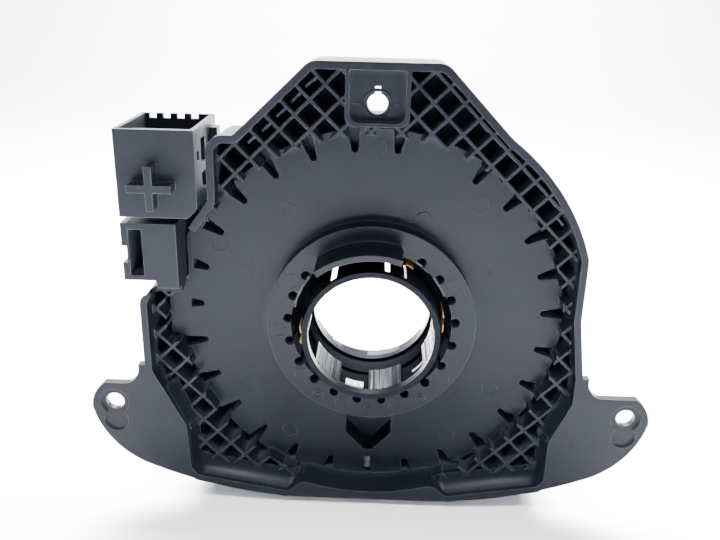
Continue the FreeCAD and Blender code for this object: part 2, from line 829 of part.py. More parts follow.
def make_rear_housing():
    """The one-piece pan that faces the steering column."""
    well = rounded_well()
    doc.recompute()
    wall_outline = offset("wall_outline", well, "pan_wall")
    shell = extrude("shell", wall_outline, PAN_BACK, f"lip_level - ({PAN_BACK})")
    block, boss_cuts = make_boss()
    outside = boolean("MultiFuse", "outside", make_flange(well) + [shell])
    hollow = extrude("hollow", well, "-cell_depth", "lip_level + 2 * cell_depth")
    core = cylinder("core", "-2 * lip_level", "4 * lip_level", "disc_band_radius + 2 * joint_overlap")
    tray = boolean("Cut", "tray", (outside, boolean("MultiFuse", "tray_cuts", [hollow, core])))
    pad_outline = rectangle("-side_pad_x", "-side_pad_half", "-side_pad_inner", "side_pad_half")
    side_pad = extrude("side_pad", free_sketch("side_pad_sketch", [pad_outline]), "-cell_depth", "cell_depth")
    above_pad = extrude("above_pad", free_sketch("above_pad_sketch", [pad_outline]), "0", "2 * rib_level")
    shelf, above_shelf = make_shelf()
    clear = boolean("MultiFuse", "lattice_cuts", [above_pad, above_shelf])
    lattice = boolean("Cut", "trimmed_lattice", (make_lattice(well), clear))
    reach = extrude("pan_reach", wall_outline, "-2 * hood_level", "4 * hood_level")
    disc = boolean("Common", "trimmed_disc", (make_disc(), reach))
    pieces = [tray, lattice, disc, block, side_pad, shelf, make_coves(well)]
    whole = boolean("MultiFuse", "whole", pieces)
    keyhole = extrude(
        "keyhole",
        free_sketch("keyhole_sketch", [rectangle(
            "-keyhole_half_width", "-keyhole_low_y", "keyhole_half_width", "-keyhole_top_y")]),
        "-cell_depth",
        "2 * lip_level",
    )
    screw_holes = make_screw_bars("pan_screw_hole", "0")
    holes = make_ear_cuts() + boss_cuts + make_shelf_cuts() + [keyhole] + screw_holes
    cuts = boolean("MultiFuse", "housing_cuts", holes)
    return keep(boolean("Cut", "rear_housing", (whole, cuts), stand=True), "rear_housing")


def make_screw_bars(name, head):
    """Round bars where the cassette's screws stand."""
    bars = []
    for number in range(int(size("screw_count"))):
        x, y = turned("screw_circle", f"360 / wedge_count + {number} * 360 / screw_count")
        level = f"{CASSETTE_BACK} - ({head})"
        length = f"cassette_thick + screw_length + ({head})"
        bars.append(cylinder(f"{name}_{number}", level, length, "screw_radius", x, y))
    return bars


def make_screws():
    """The screws that hold the cassette to the pan."""
    pieces = make_screw_bars("screw_shank", "0")
    for number in range(int(size("screw_count"))):
        x, y = turned("screw_circle", f"360 / wedge_count + {number} * 360 / screw_count")
        level = f"{CASSETTE_BACK} - screw_head_height"
        pieces.append(cylinder(f"screw_head_{number}", level, "screw_head_height", "screw_head_radius", x, y))
    return keep(boolean("MultiFuse", "cassette_screws", pieces, stand=True), "cassette_screws")


def gear_place(teeth, angle):
    """The centre of a small gear in mesh with the drive gear."""
    radius = f"{GEAR_MODULE} * (drive_teeth + {teeth}) / 2 + gear_running_gap"
    return turned(radius, angle)


def make_cassette():
    """The ribbon's housing: a floor against the pan, a round wall and an arm at the left."""
    body = new_body("cassette_housing")
    floor = [("circle", "0", "0", "cassette_radius"), ("circle", "0", "0", f"{FLANGE_RADIUS} - flange_cover")]
    pad(body, "cassette_floor", CASSETTE_BACK, floor, "cassette_thick")
    arm = [
        ("-(box_right_x - 2 * box_wall)", "0"),
        ("-(box_right_x - 2 * box_wall)", "box_top_y - 2 * box_wall"),
        ("-box_right_x", "box_top_y - 2 * box_wall"),
        ("-box_right_x", "box_low_y"),
        ("-(box_left_x - box_wall)", "box_low_y"),
        ("-(box_left_x - box_wall)", "lower_top_y"),
        ("-lower_right_x", "lower_top_y"),
        ("-lower_right_x", "lower_low_y"),
    ]
    depth = "(cassette_depth - ring_overlap - plate_gap)"
    pad(body, "connector_arm", f"{CASSETTE_BACK} - {depth}", [arm], f"{depth} + cassette_thick")
    wall = [
        ("circle", "0", "0", "cassette_wall_radius"),
        ("circle", "0", "0", "cassette_wall_radius - cassette_wall"),
    ]
    pad(body, "cassette_wall", WALL_END, wall, "cassette_depth")
    inside = [("circle", "0", "0", "cassette_wall_radius - cassette_wall")]
    pocket(body, "cassette_room", CASSETTE_BACK, inside, "2 * cassette_depth")
    for name, teeth, angle in GEARS:
        centre = gear_place(teeth, angle)
        axle = [("circle", *centre, "axle_radius")]
        pad(body, f"{name}_axle", PAN_BACK, axle, f"-({PAN_BACK}) - gear_level")
        shoulder = [("circle", *centre, "axle_shoulder")]
        height = f"-({PAN_BACK}) - gear_level - gear_thick - magnet_thick - axle_end_gap"
        pad(body, f"{name}_shoulder", PAN_BACK, shoulder, height)
    holes = []
    for number in range(int(size("screw_count"))):
        x, y = turned("screw_circle", f"360 / wedge_count + {number} * 360 / screw_count")
        holes.append(("circle", x, y, "screw_radius"))
    pocket(body, "screw_holes", "lip_level", holes, "2 * lip_level")
    return keep(body, "cassette_housing")


def make_retaining_ring():
    """The ring that snaps over the cassette's wall and keeps the rotor plate in."""
    lip = f"({WALL_END}) - plate_thick - 2 * plate_gap"
    body = new_body("retaining_ring")
    outer = ("circle", "0", "0", "cassette_wall_radius + ring_wall")
    sleeve = [outer, ("circle", "0", "0", "cassette_wall_radius")]
    pad(body, "ring_sleeve", lip, sleeve, "plate_thick + 2 * plate_gap + ring_overlap")
    flange = [outer, ("circle", "0", "0", "ring_lip_radius")]
    pad(body, "ring_lip", f"{lip} - ring_lip_thick", flange, "ring_lip_thick")
    return keep(body, "retaining_ring")


def make_hub():
    """The castellated tube that the column's shaft passes through."""
    body = new_body("rotor_hub")
    outer = "bore_radius + hub_wall"
    tube = [("circle", "0", "0", outer), ("circle", "0", "0", "bore_radius")]
    foot = f"{CASSETTE_BACK} - plate_gap - hub_flange_thick"
    pad(body, "hub_tube", foot, tube, f"hub_near_end - ({foot})")
    flange = [("circle", "0", "0", FLANGE_RADIUS), ("circle", "0", "0", "bore_radius")]
    pad(body, "hub_flange", foot, flange, "hub_flange_thick")
    groove = [("circle", "0", "0", "bore_radius + groove_depth")]
    pocket(body, "groove", "-groove_start", groove, "groove_length")
    window = sector(
        "bore_radius - joint_overlap", "bore_radius + hub_wall + joint_overlap",
        "(window_first - window_angle / 2)", "(window_first + window_angle / 2)")
    cut = pocket(body, "window", "hub_near_end - hub_ring_length", [window], "window_depth")
    polar(body, "windows", cut, "window_count", "360")
    return keep(body, "rotor_hub")


def make_rotor_plate():
    """The wheel-side plate and the drum that the ribbon winds round."""
    body = new_body("rotor_plate")
    drum_end = f"{CASSETTE_BACK} - plate_gap - hub_flange_thick"
    back = f"({WALL_END}) - plate_gap - plate_thick"
    inner = FLANGE_RADIUS
    drum = [("circle", "0", "0", "drum_radius"), ("circle", "0", "0", inner)]
    pad(body, "drum", back, drum, f"{CASSETTE_BACK} - plate_gap - ({back})")
    plate = [("circle", "0", "0", "plate_radius"), ("circle", "0", "0", inner)]
    pad(body, "plate", back, plate, "plate_thick")
    collar = [("circle", "0", "0", "drum_radius"), ("circle", "0", "0", inner)]
    pad(body, "wheel_collar", f"{back} - wheel_collar_height", collar, "wheel_collar_height")
    seat = [("circle", "0", "0", inner), ("circle", "0", "0", "bore_radius + hub_wall")]
    pad(body, "hub_seat", f"{drum_end} - plate_thick", seat, "plate_thick")
    return keep(body, "rotor_plate")


def gear_outline(teeth, bore):
    """A spur gear's face; each flank is drawn through its root, pitch and tip."""
    module = size(GEAR_MODULE)
    pitch_radius = module * teeth / 2
    base_radius = pitch_radius * math.cos(math.radians(size("pressure_angle")))
    root_radius = pitch_radius - size("tooth_root") * module
    tip_radius = pitch_radius + size("tooth_tip") * module
    thinning = size("gear_backlash") / 2 / pitch_radius

    def half_angle(radius):
        """Half of the tooth's width at a radius, as an angle."""
        def involute(at_radius):
            pressure = math.acos(min(1.0, base_radius / at_radius))
            return math.tan(pressure) - pressure
        full = math.pi / 2 / teeth + involute(pitch_radius) - involute(max(radius, base_radius))
        return full - thinning

    flank = [(radius, half_angle(radius)) for radius in (root_radius, pitch_radius, tip_radius)]
    tooth_points = [(radius, -angle) for radius, angle in flank] + flank[::-1]
    corners = []
    for tooth in range(int(teeth)):
        for radius, angle in tooth_points:
            turn = 2 * math.pi * tooth / teeth + angle
            corners.append(FreeCAD.Vector(radius * math.sin(turn), radius * math.cos(turn), 0))
    face = Part.Face(Part.makePolygon(corners + corners[:1]))
    return face.cut(Part.Face(Part.Wire(Part.makeCircle(bore))))


def make_gear(label, teeth, bore, centre=None, phase=0.0):
    """A gear solid at its place, turned so that it is in mesh."""
    gear = doc.addObject("Part::Feature", label)
    face = gear_outline(teeth, bore)
    solid = face.extrude(FreeCAD.Vector(0, 0, size("gear_thick")))
    place = FreeCAD.Vector(0, 0, -size("gear_level + gear_thick"))
    if centre:
        place = place + at(*centre)
    turn = FreeCAD.Rotation(FreeCAD.Vector(0, 0, 1), -math.degrees(phase))
    gear.Shape = solid
    gear.Placement = STANDING * FreeCAD.Placement(place, turn)
    return keep(gear, label)


def mesh_phase(teeth, angle):
    """The turn that puts a small gear's gap on the drive gear's tooth."""
    along = math.radians(angle)
    drive_phase = (along * size("drive_teeth") / (2 * math.pi)) % 1.0
    own = along + math.pi
    return own + (0.5 + drive_phase) * 2 * math.pi / teeth


def make_gears():
    """The drive gear on the hub and the two small gears of the angle sensor."""
    make_gear("drive_gear", size("drive_teeth"), size("bore_radius + hub_wall"))
    for name, teeth, angle in GEARS:
        count = size(teeth)
        bore = size("axle_radius + axle_clearance")
        phase = mesh_phase(count, size(angle))
        make_gear(f"{name}_sensor_gear", count, bore, gear_place(teeth, angle), phase)


def make_magnets():
    """The ring magnets under the small gears, which the board's chips read."""
    for name, teeth, angle in GEARS:
        body = new_body(f"{name}_magnet")
        centre = gear_place(teeth, angle)
        bore = "axle_radius + axle_clearance"
        ring = [("circle", *centre, f"{bore} + magnet_radius"), ("circle", *centre, bore)]
        pad(body, f"{name}_magnet_ring", "-(gear_level + gear_thick + magnet_thick)", ring, "magnet_thick")
        keep(body, f"{name}_magnet")


def sector(inner, outer, start, stop):
    """A part of a ring between two angles."""
    middle = f"({start} + {stop}) / 2"
    return [
        turned(inner, start),
        ("arc", *turned(inner, middle)),
        turned(inner, stop),
        turned(outer, stop),
        ("arc", *turned(outer, middle)),
        turned(outer, start),
    ]


def make_board():
    """The sensor's circuit board, flat on the cassette's floor, and its two chips."""
    body = new_body("sensor_board")
    outline = [sector("board_inner", "disc_band_radius - board_edge_gap", "board_start", "board_end")]
    for _, teeth, angle in GEARS:
        outline.append(("circle", *gear_place(teeth, angle), "axle_shoulder + axle_clearance"))
    pad(body, "board", PAN_BACK, outline, "board_thick")
    keep(body, "sensor_board")
    chips = new_body("sensor_chips")
    loops = []
    for _, teeth, angle in GEARS:
        centre = gear_place(teeth, f"{angle} + chip_turn")
        loops.append(rectangle(
            f"{centre[0]} - magnet_radius / 2", f"{centre[1]} - magnet_radius / 2",
            f"{centre[0]} + magnet_radius / 2", f"{centre[1]} + magnet_radius / 2"))
    pad(chips, "chip_bodies", f"{PAN_BACK} + board_thick", loops, "chip_height")
    keep(chips, "sensor_chips")


def make_connector_box():
    """The large connector's box, open at its top, with the plus-shaped post on its face."""
    body = new_body("connector_box")
    outer = [
        ("-box_left_x", "box_low_y"),
        ("-(box_right_x + box_chamfer)", "box_low_y"),
        ("-box_right_x", "box_low_y + box_chamfer"),
        ("-box_right_x", "box_top_y"),
        ("-box_left_x", "box_top_y"),
    ]
    pad(body, "box_body", "box_level - box_depth", [outer], "box_depth")
    room = [
        ("-(box_left_x - box_wall)", "box_low_y + box_floor"),
        ("-(box_right_x + box_wall)", "box_low_y + box_floor"),
        ("-(box_right_x + box_wall)", "box_top_y + box_wall"),
        ("-(box_left_x - box_wall)", "box_top_y + box_wall"),
    ]
    pocket(body, "box_room", "box_level - box_wall", [room], "box_depth - 2 * box_wall")
    upright = rectangle(
        "-(plus_x + plus_arm / 2)", "plus_y - plus_half", "-(plus_x - plus_arm / 2)", "plus_y + plus_half")
    level = rectangle(
        "-(plus_x + plus_half)", "plus_y - plus_arm / 2", "-(plus_x - plus_half)", "plus_y + plus_arm / 2")
    pad(body, "plus_upright", "box_level", [upright], "plus_height")
    pad(body, "plus_level", "box_level", [level], "plus_height")
    crenels = []
    for number in range(int(size("crenel_count"))):
        left = f"-(box_left_x - 2 * box_wall - {number} * crenel_pitch)"
        right = f"{left} + crenel_width"
        crenels.append(rectangle(left, "box_top_y - crenel_depth", right, "box_top_y + box_wall"))
    pocket(body, "far_crenels", "box_level - box_depth + 2 * box_wall", crenels, "3 * box_wall")
    slots = [
        rectangle("side_slot_low", "-side_slot_far", "side_slot_top", "side_slot_near"),
        rectangle("latch_low", "latch_far", "latch_top", "latch_near"),
        rectangle("vent_low", "-side_slot_far", "vent_top", "side_slot_near"),
    ]
    side = body_sketch(body, "side_slots_sketch", "-(box_right_x - box_wall)", slots, "YZ_Plane")
    feature(body, "Pocket", "side_slots", side, "3 * box_wall")
    return keep(body, "connector_box")


def make_partition():
    """The partition that stands across the large connector's room."""
    body = new_body("connector_partition")
    wall = [rectangle(
        "-(box_left_x - box_wall)", "box_low_y + box_floor",
        "-(box_right_x + box_wall)", "box_top_y - 2 * box_wall")]
    pad(body, "partition", "box_level - (box_depth + box_wall) / 2", wall, "box_wall")
    return keep(body, "connector_partition")


def make_pin_rows():
    """The large connector's pins: two rows that stand on the box's floor."""
    rows = []
    for row in range(int(size("pin_rows"))):
        for number in range(int(size("pins_in_row"))):
            pin = doc.addObject("Part::Box", f"connector_pin_{row}_{number}")
            bind(pin, "Length", "pin_width")
            bind(pin, "Width", "pin_length")
            bind(pin, "Height", "pin_width")
            bind(pin, ".Placement.Base.x", f"-(box_left_x - box_wall - ({number} + 1) * pin_pitch)")
            bind(pin, ".Placement.Base.y", "box_low_y + box_floor")
            level = f"box_level - box_depth * ({row} + 1 / 2) / pin_rows - pin_width / 2"
            bind(pin, ".Placement.Base.z", level)
            rows.append(pin)
    return keep(boolean("MultiFuse", "connector_pins", rows, stand=True), "connector_pins")


def make_lower_connector():
    """The smaller connector below the box, with a slot that faces the column."""
    body = new_body("lower_connector")
    outer = [
        ("-lower_left_x", "lower_step_y"),
        ("-lower_step_x", "lower_step_y"),
        ("-(lower_step_x - lower_step_run)", "lower_low_y"),
        ("-lower_right_x", "lower_low_y"),
        ("-lower_right_x", "lower_top_y"),
        ("-lower_left_x", "lower_top_y"),
        ("-lower_left_x", "bite_top_y"),
        ("-(lower_left_x - bite_depth)", "bite_top_y"),
        ("-(lower_left_x - bite_depth)", "bite_low_y"),
        ("-lower_left_x", "bite_low_y"),
    ]
    pad(body, "lower_body", "lower_level - lower_depth", [outer], "lower_depth")
    slot = [rectangle("-slot_left_x", "slot_low_y", "-slot_right_x", "slot_top_y")]
    pocket(body, "slot", "lower_level", slot, "slot_depth")
    keep(body, "lower_connector")
    pins = []
    for number in range(int(size("lower_pins"))):
        pin = doc.addObject("Part::Box", f"lower_pin_{number}")
        bind(pin, "Length", "pin_width")
        bind(pin, "Width", "pin_width")
        bind(pin, "Height", "lower_pin_length")
        bind(pin, ".Placement.Base.x", "-(slot_left_x + slot_right_x + pin_width) / 2")
        bind(pin, ".Placement.Base.y", f"slot_low_y + ({number} + 1) * pin_pitch - pin_width / 2")
        bind(pin, ".Placement.Base.z", "lower_level - slot_depth")
        pins.append(pin)
    return keep(boolean("MultiFuse", "lower_pins", pins, stand=True), "lower_pins")


def make_window_blocks():
    """Pale terminal blocks behind two of the hub's windows, seated on the drive gear."""
    blocks = []
    for number, step in enumerate(BLOCK_WINDOWS):
        block = doc.addObject("Part::Box", f"terminal_block_{number}")
        bind(block, "Length", "block_width")
        bind(block, "Width", "block_thick")
        bind(block, "Height", "block_height")
        angle = size(f"window_first + {step} * 360 / window_count")
        inner = size("bore_radius + hub_wall")
        spot = FreeCAD.Vector(-size("block_width") / 2, inner, -size("gear_level"))
        turn = FreeCAD.Rotation(FreeCAD.Vector(0, 0, 1), -angle)
        block.Placement = FreeCAD.Placement(turn.multVec(spot), turn)
        blocks.append(block)
    return keep(boolean("MultiFuse", "terminal_blocks", blocks, stand=True), "terminal_blocks")


def make_ribbon_tabs():
    """The ribbon's short amber ends that stand round the hub."""
    body = new_body("ribbon_tabs")
    loops = []
    for angle in TAB_ANGLES:
        half = "tab_width / tab_radius / 2 * 180 / pi"
        loops.append(sector("tab_radius", "tab_radius + tab_thick", f"{angle} - {half}", f"{angle} + {half}"))
    pad(body, "tabs", "-gear_level", loops, "tab_height")
    return keep(body, "ribbon_tabs")


def make_socket(label, width, height, middle_y):
    """A socket on the rotor plate, open towards the wheel, and its row of pins."""
    back = f"({WALL_END}) - plate_gap - plate_thick"
    body = new_body(label)
    low = f"{middle_y} - {height} / 2"
    top = f"{middle_y} + {height} / 2"
    outer = [rectangle(f"-{width} / 2", low, f"{width} / 2", top)]
    pad(body, f"{label}_body", f"{back} - socket_depth", outer, "socket_depth")
    room = body_sketch(body, f"{label}_room_sketch", f"{back} - socket_depth", [rectangle(
        f"-({width} / 2 - socket_wall)", f"{low} + socket_wall",
        f"{width} / 2 - socket_wall", f"{top} - socket_wall")])
    feature(body, "Pocket", f"{label}_room", room, "socket_depth - socket_wall", reverse=True)
    keep(body, label)
    pins = []
    for number in range(int((size(width) / 2 - size("socket_wall")) / size("pin_pitch")) * 2 - 1):
        pin = doc.addObject("Part::Box", f"{label}_pin_{number}")
        bind(pin, "Length", "pin_width")
        bind(pin, "Width", "pin_width")
        bind(pin, "Height", "socket_pin_length")
        x = f"-{width} / 2 + socket_wall + ({number} + 1) * pin_pitch - pin_width / 2"
        bind(pin, ".Placement.Base.x", x)
        bind(pin, ".Placement.Base.y", f"{middle_y} - pin_width / 2")
        bind(pin, ".Placement.Base.z", f"{back} - socket_wall - socket_pin_length")
        pins.append(pin)
    return keep(boolean("MultiFuse", f"{label}_pins", pins, stand=True), f"{label}_pins")


def make_ribbon():
    """The flat cable, wound from the drum out to the cassette's wall in half-turn arcs."""
    start = size("drum_radius + ribbon_gap")
    stop = size("cassette_wall_radius - cassette_wall - ribbon_gap - ribbon_thick")
    halves = 2 * int(size("ribbon_turns"))
    growth = (stop - start) / (halves + 1)

    def wound(extra):
        """One long edge of the band: half circles whose centres swap sides."""
        edges = []
        for number in range(halves):
            side = 1 if number % 2 == 0 else -1
            radius = start + extra + growth * (number + 0.5)
            centre = FreeCAD.Vector(0, side * growth / 2, 0)
            near = centre + FreeCAD.Vector(0, -side * radius, 0)
            middle = centre + FreeCAD.Vector(side * radius, 0, 0)
            far = centre + FreeCAD.Vector(0, side * radius, 0)
            edges.append(Part.Arc(near, middle, far).toShape())
        return edges

    inner = wound(0)
    outer = wound(size("ribbon_thick"))
    caps = []
    for ends in (0, -1):
        pick = 0 if ends == 0 else -1
        caps.append(Part.makeLine(inner[ends].Vertexes[pick].Point, outer[ends].Vertexes[pick].Point))
    face = Part.Face(Part.Wire(Part.__sortEdges__(inner + outer + caps)))
    ribbon = doc.addObject("Part::Feature", "ribbon_cable")
    ribbon.Shape = face.extrude(FreeCAD.Vector(0, 0, size("cassette_depth - 2 * ribbon_gap")))
    place = FreeCAD.Placement(at(0, 0, f"({WALL_END}) + ribbon_gap"), FreeCAD.Rotation())
    ribbon.Placement = STANDING * place
    return keep(ribbon, "ribbon_cable")


def check_document():
    """Stops when an object failed or a piece is not one sound closed shape."""
    for thing in doc.Objects:
        if "Invalid" in thing.State or "Error" in thing.State:
            raise ValueError(f"{thing.Name} failed: {thing.State} {thing.getStatusString()}")
    for piece in NODES:
        shape = piece.Shape
        if shape.isNull() or not shape.isValid() or shape.Volume <= 0:
            raise ValueError(f"{piece.Label} has no sound shape")


def write_pieces():
    """Writes each piece to its own file."""
    os.makedirs("parts", exist_ok=True)
    for piece in NODES:
        piece.Shape.exportStep(os.path.join("parts", piece.Label + ".step"))
        print(piece.Label, "solids", len(piece.Shape.Solids), "volume", round(piece.Shape.Volume, 1))


def main():
    """Builds every piece, checks it and writes it."""
    make_rear_housing()
    make_screws()
    make_cassette()
    make_retaining_ring()
    make_hub()
    make_rotor_plate()
    make_gears()
    make_magnets()
    make_board()
    make_connector_box()
    make_partition()
    make_pin_rows()
    make_lower_connector()
    make_window_blocks()
    make_ribbon_tabs()
    make_socket("signal_socket", "socket_width", "socket_height", "socket_y")
    make_socket("airbag_socket", "airbag_width", "airbag_height", "-airbag_y")
    make_ribbon()
    doc.recompute()
    check_document()
    write_pieces()


main()
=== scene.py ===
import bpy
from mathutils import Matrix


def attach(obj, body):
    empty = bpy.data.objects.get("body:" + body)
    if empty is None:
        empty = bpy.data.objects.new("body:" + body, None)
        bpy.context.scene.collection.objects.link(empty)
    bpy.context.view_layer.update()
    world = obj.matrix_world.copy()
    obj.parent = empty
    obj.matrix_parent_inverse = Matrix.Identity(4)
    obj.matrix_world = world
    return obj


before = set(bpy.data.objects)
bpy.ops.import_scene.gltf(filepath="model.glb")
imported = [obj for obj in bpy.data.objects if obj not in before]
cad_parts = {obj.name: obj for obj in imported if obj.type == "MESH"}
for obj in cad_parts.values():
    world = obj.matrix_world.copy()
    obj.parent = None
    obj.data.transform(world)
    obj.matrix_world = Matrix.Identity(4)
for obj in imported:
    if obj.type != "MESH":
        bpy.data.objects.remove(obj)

"""Looks of a steering clock spring: its finishes, its small moulded pieces, the studio and the camera.

The pieces' sizes and the camera's eye are in millimetres, which MM makes metres, and y runs from the column
to the wheel. The floor, the lights and the camera's clipping are in metres. Angles are in degrees.
"""
import logging
import math
from dataclasses import dataclass, field
from enum import Enum
from typing import ClassVar

import bmesh
import bpy
import numpy as np
from mathutils import Matrix, Vector

LOG = logging.getLogger("clock_spring")
MM = 0.001
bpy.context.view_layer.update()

Pair = tuple[float, float]
Triple = tuple[float, float, float]
Line = tuple[float, float, float, float]

# A Mix node has a set of sockets for each kind of data; these are the ones that it uses for colours.
MIX_SHARE, MIX_FIRST, MIX_SECOND, MIX_RESULT = 0, 6, 7, 2


class Body(Enum):
    """The moving groups that the small pieces ride on."""

    STATOR = "stator"
    ROTOR = "rotor"


@dataclass(frozen=True)
class Finish:
    """One moulded, metal or film finish, built from noise in the piece's own coordinates.

    Mottle and grain are the noises' scales per metre. Grain depth and edge width are in millimetres. Where a
    hollow light colour is given, deep places between walls lighten towards it: painted light that lifts their
    shade. The edges' lighter colour is partly wear and partly painted highlight. The hollow light and the low
    specular levels of the black finishes are chosen for the tone that they give under these lights.
    """

    name: str
    colour: Triple
    second: Triple
    rough_low: float = 0.3
    rough_high: float = 0.42
    mottle: float = 45.0
    grain: float = 2600.0
    grain_depth: float = 0.012
    edge: Triple = (0.12, 0.125, 0.135)
    edge_share: float = 0.5
    edge_width: float = 0.35
    metallic: float = 0.0
    specular: float = 0.5
    coat: float = 0.0
    hollow_light: Triple | None = None

    MOTTLE_DETAIL: ClassVar[float] = 5.0
    MOTTLE_SPAN: ClassVar[Pair] = (0.35, 0.65)
    MOTTLE_SHARE: ClassVar[float] = 0.7
    SMEAR_SCALE: ClassVar[float] = 7.0
    SMEAR_DETAIL: ClassVar[float] = 3.0
    SMEAR_SHARE: ClassVar[float] = 0.3
    GRAIN_DETAIL: ClassVar[float] = 2.0
    GRAIN_STRENGTH: ClassVar[float] = 0.35
    EDGE_SAMPLES: ClassVar[int] = 6
    EDGE_COSINES: ClassVar[Pair] = (0.995, 0.8)
    WEAR_AND_HIGHLIGHT_SPAN: ClassVar[Pair] = (0.3, 0.6)
    WEAR_AND_HIGHLIGHT_RESULT: ClassVar[Pair] = (0.45, 1.0)
    HOLLOW_SAMPLES: ClassVar[int] = 4
    HOLLOW_REACH: ClassVar[float] = 10.0
    HOLLOW_SPAN: ClassVar[Pair] = (0.5, 0.12)
    COAT_ROUGHNESS: ClassVar[float] = 0.12

    def build(self) -> bpy.types.Material:
        """Makes the node material.

        Returns:
            The material: mottled colour and roughness, fine grain as bump, lighter edges that are partly wear
            and partly painted highlight, and painted light in the hollows where the finish has a hollow
            light.
        """
        material = bpy.data.materials.new(self.name)
        material.use_nodes = True
        tree = material.node_tree
        shader = tree.nodes["Principled BSDF"]
        link = tree.links.new
        place = tree.nodes.new("ShaderNodeTexCoord").outputs["Object"]
        mottle = self._noise(tree, place, self.mottle, self.MOTTLE_DETAIL)
        smear = self._noise(tree, place, self.mottle * self.SMEAR_SCALE, self.SMEAR_DETAIL)
        grain = self._noise(tree, place, self.grain, self.GRAIN_DETAIL)
        blend = tree.nodes.new("ShaderNodeMath")
        blend.operation = "MULTIPLY_ADD"
        blend.inputs[1].default_value = self.SMEAR_SHARE
        link(smear, blend.inputs[0])
        link(self._ramp(tree, mottle, self.MOTTLE_SPAN, (0.0, self.MOTTLE_SHARE)), blend.inputs[2])
        tone = self._mix(tree, blend.outputs[0], self.second)
        tone.inputs[MIX_FIRST].default_value = (*self.colour, 1.0)
        rounded = tree.nodes.new("ShaderNodeBevel")
        rounded.samples = self.EDGE_SAMPLES
        rounded.inputs["Radius"].default_value = self.edge_width * MM
        # Edges lighten towards the edge colour: partly wear, partly painted highlight lines.
        edged = self._mix(tree, self._edge_mask(tree, rounded.outputs[0], smear), self.edge)
        link(tone.outputs[MIX_RESULT], edged.inputs[MIX_FIRST])
        colour = edged.outputs[MIX_RESULT]
        # Painted light: deep hollows lighten towards the hollow light colour, which lifts their shade.
        if self.hollow_light is not None:
            lit_hollows = self._mix(tree, self._hollow_mask(tree), self.hollow_light)
            link(colour, lit_hollows.inputs[MIX_FIRST])
            colour = lit_hollows.outputs[MIX_RESULT]
        link(colour, shader.inputs["Base Color"])
        rough = self._ramp(tree, blend.outputs[0], (0.0, 1.0), (self.rough_low, self.rough_high))
        link(rough, shader.inputs["Roughness"])
        bump = tree.nodes.new("ShaderNodeBump")
        bump.inputs["Strength"].default_value = self.GRAIN_STRENGTH
        bump.inputs["Distance"].default_value = self.grain_depth * MM
        link(grain, bump.inputs["Height"])
        link(rounded.outputs[0], bump.inputs["Normal"])
        link(bump.outputs[0], shader.inputs["Normal"])
        shader.inputs["Metallic"].default_value = self.metallic
        shader.inputs["Specular IOR Level"].default_value = self.specular
        shader.inputs["Coat Weight"].default_value = self.coat
        shader.inputs["Coat Roughness"].default_value = self.COAT_ROUGHNESS
        return material

    def _noise(self, tree: bpy.types.NodeTree, place: bpy.types.NodeSocket, scale: float,
               detail: float) -> bpy.types.NodeSocket:
        """Adds a noise of a scale and detail and returns its value."""
        noise = tree.nodes.new("ShaderNodeTexNoise")
        noise.inputs["Scale"].default_value = scale
        noise.inputs["Detail"].default_value = detail
        tree.links.new(place, noise.inputs["Vector"])
        return noise.outputs[0]

    def _ramp(self, tree: bpy.types.NodeTree, value: bpy.types.NodeSocket, span: Pair,
              result: Pair) -> bpy.types.NodeSocket:
        """Maps one span of a value to another, clamped, and returns it."""
        spread = tree.nodes.new("ShaderNodeMapRange")
        for number, limit in enumerate((*span, *result), start=1):
            spread.inputs[number].default_value = limit
        tree.links.new(value, spread.inputs[0])
        return spread.outputs[0]

    def _mix(self, tree: bpy.types.NodeTree, share: bpy.types.NodeSocket, second: Triple) -> bpy.types.Node:
        """Adds a colour mix that goes over to a second colour by a share.

        Args:
            tree: the material's nodes.
            share: how much of the second colour there is.
            second: the colour where the share is full.

        Returns:
            The mix, whose first colour is still to be set or linked.
        """
        mix = tree.nodes.new("ShaderNodeMix")
        mix.data_type = "RGBA"
        mix.inputs[MIX_SECOND].default_value = (*second, 1.0)
        tree.links.new(share, mix.inputs[MIX_SHARE])
        return mix

    def _hollow_mask(self, tree: bpy.types.NodeTree) -> bpy.types.NodeSocket:
        """Finds deep places between walls, where light is painted, and returns a value that is highest there.
        """
        hollow = tree.nodes.new("ShaderNodeAmbientOcclusion")
        hollow.samples = self.HOLLOW_SAMPLES
        hollow.inputs["Distance"].default_value = self.HOLLOW_REACH * MM
        return self._ramp(tree, hollow.outputs["AO"], self.HOLLOW_SPAN, (0.0, 1.0))

    def _edge_mask(self, tree: bpy.types.NodeTree, rounded: bpy.types.NodeSocket,
                   smear: bpy.types.NodeSocket) -> bpy.types.NodeSocket:
        """Finds worn edges as the angle between the rounded and the true normal.

        Args:
            tree: the material's nodes.
            rounded: the bevelled normal.
            smear: noise that breaks the wear and the painted highlight up.

        Returns:
            A value that is highest on edges.
        """
        normal = tree.nodes.new("ShaderNodeNewGeometry").outputs["Normal"]
        dot = tree.nodes.new("ShaderNodeVectorMath")
        dot.operation = "DOT_PRODUCT"
        tree.links.new(rounded, dot.inputs[0])
        tree.links.new(normal, dot.inputs[1])
        near = self._ramp(tree, dot.outputs["Value"], self.EDGE_COSINES, (0.0, self.edge_share))
        broken = tree.nodes.new("ShaderNodeMath")
        broken.operation = "MULTIPLY"
        tree.links.new(near, broken.inputs[0])
        tree.links.new(self._ramp(tree, smear, self.WEAR_AND_HIGHLIGHT_SPAN, self.WEAR_AND_HIGHLIGHT_RESULT), broken.inputs[1])
        return broken.outputs[0]


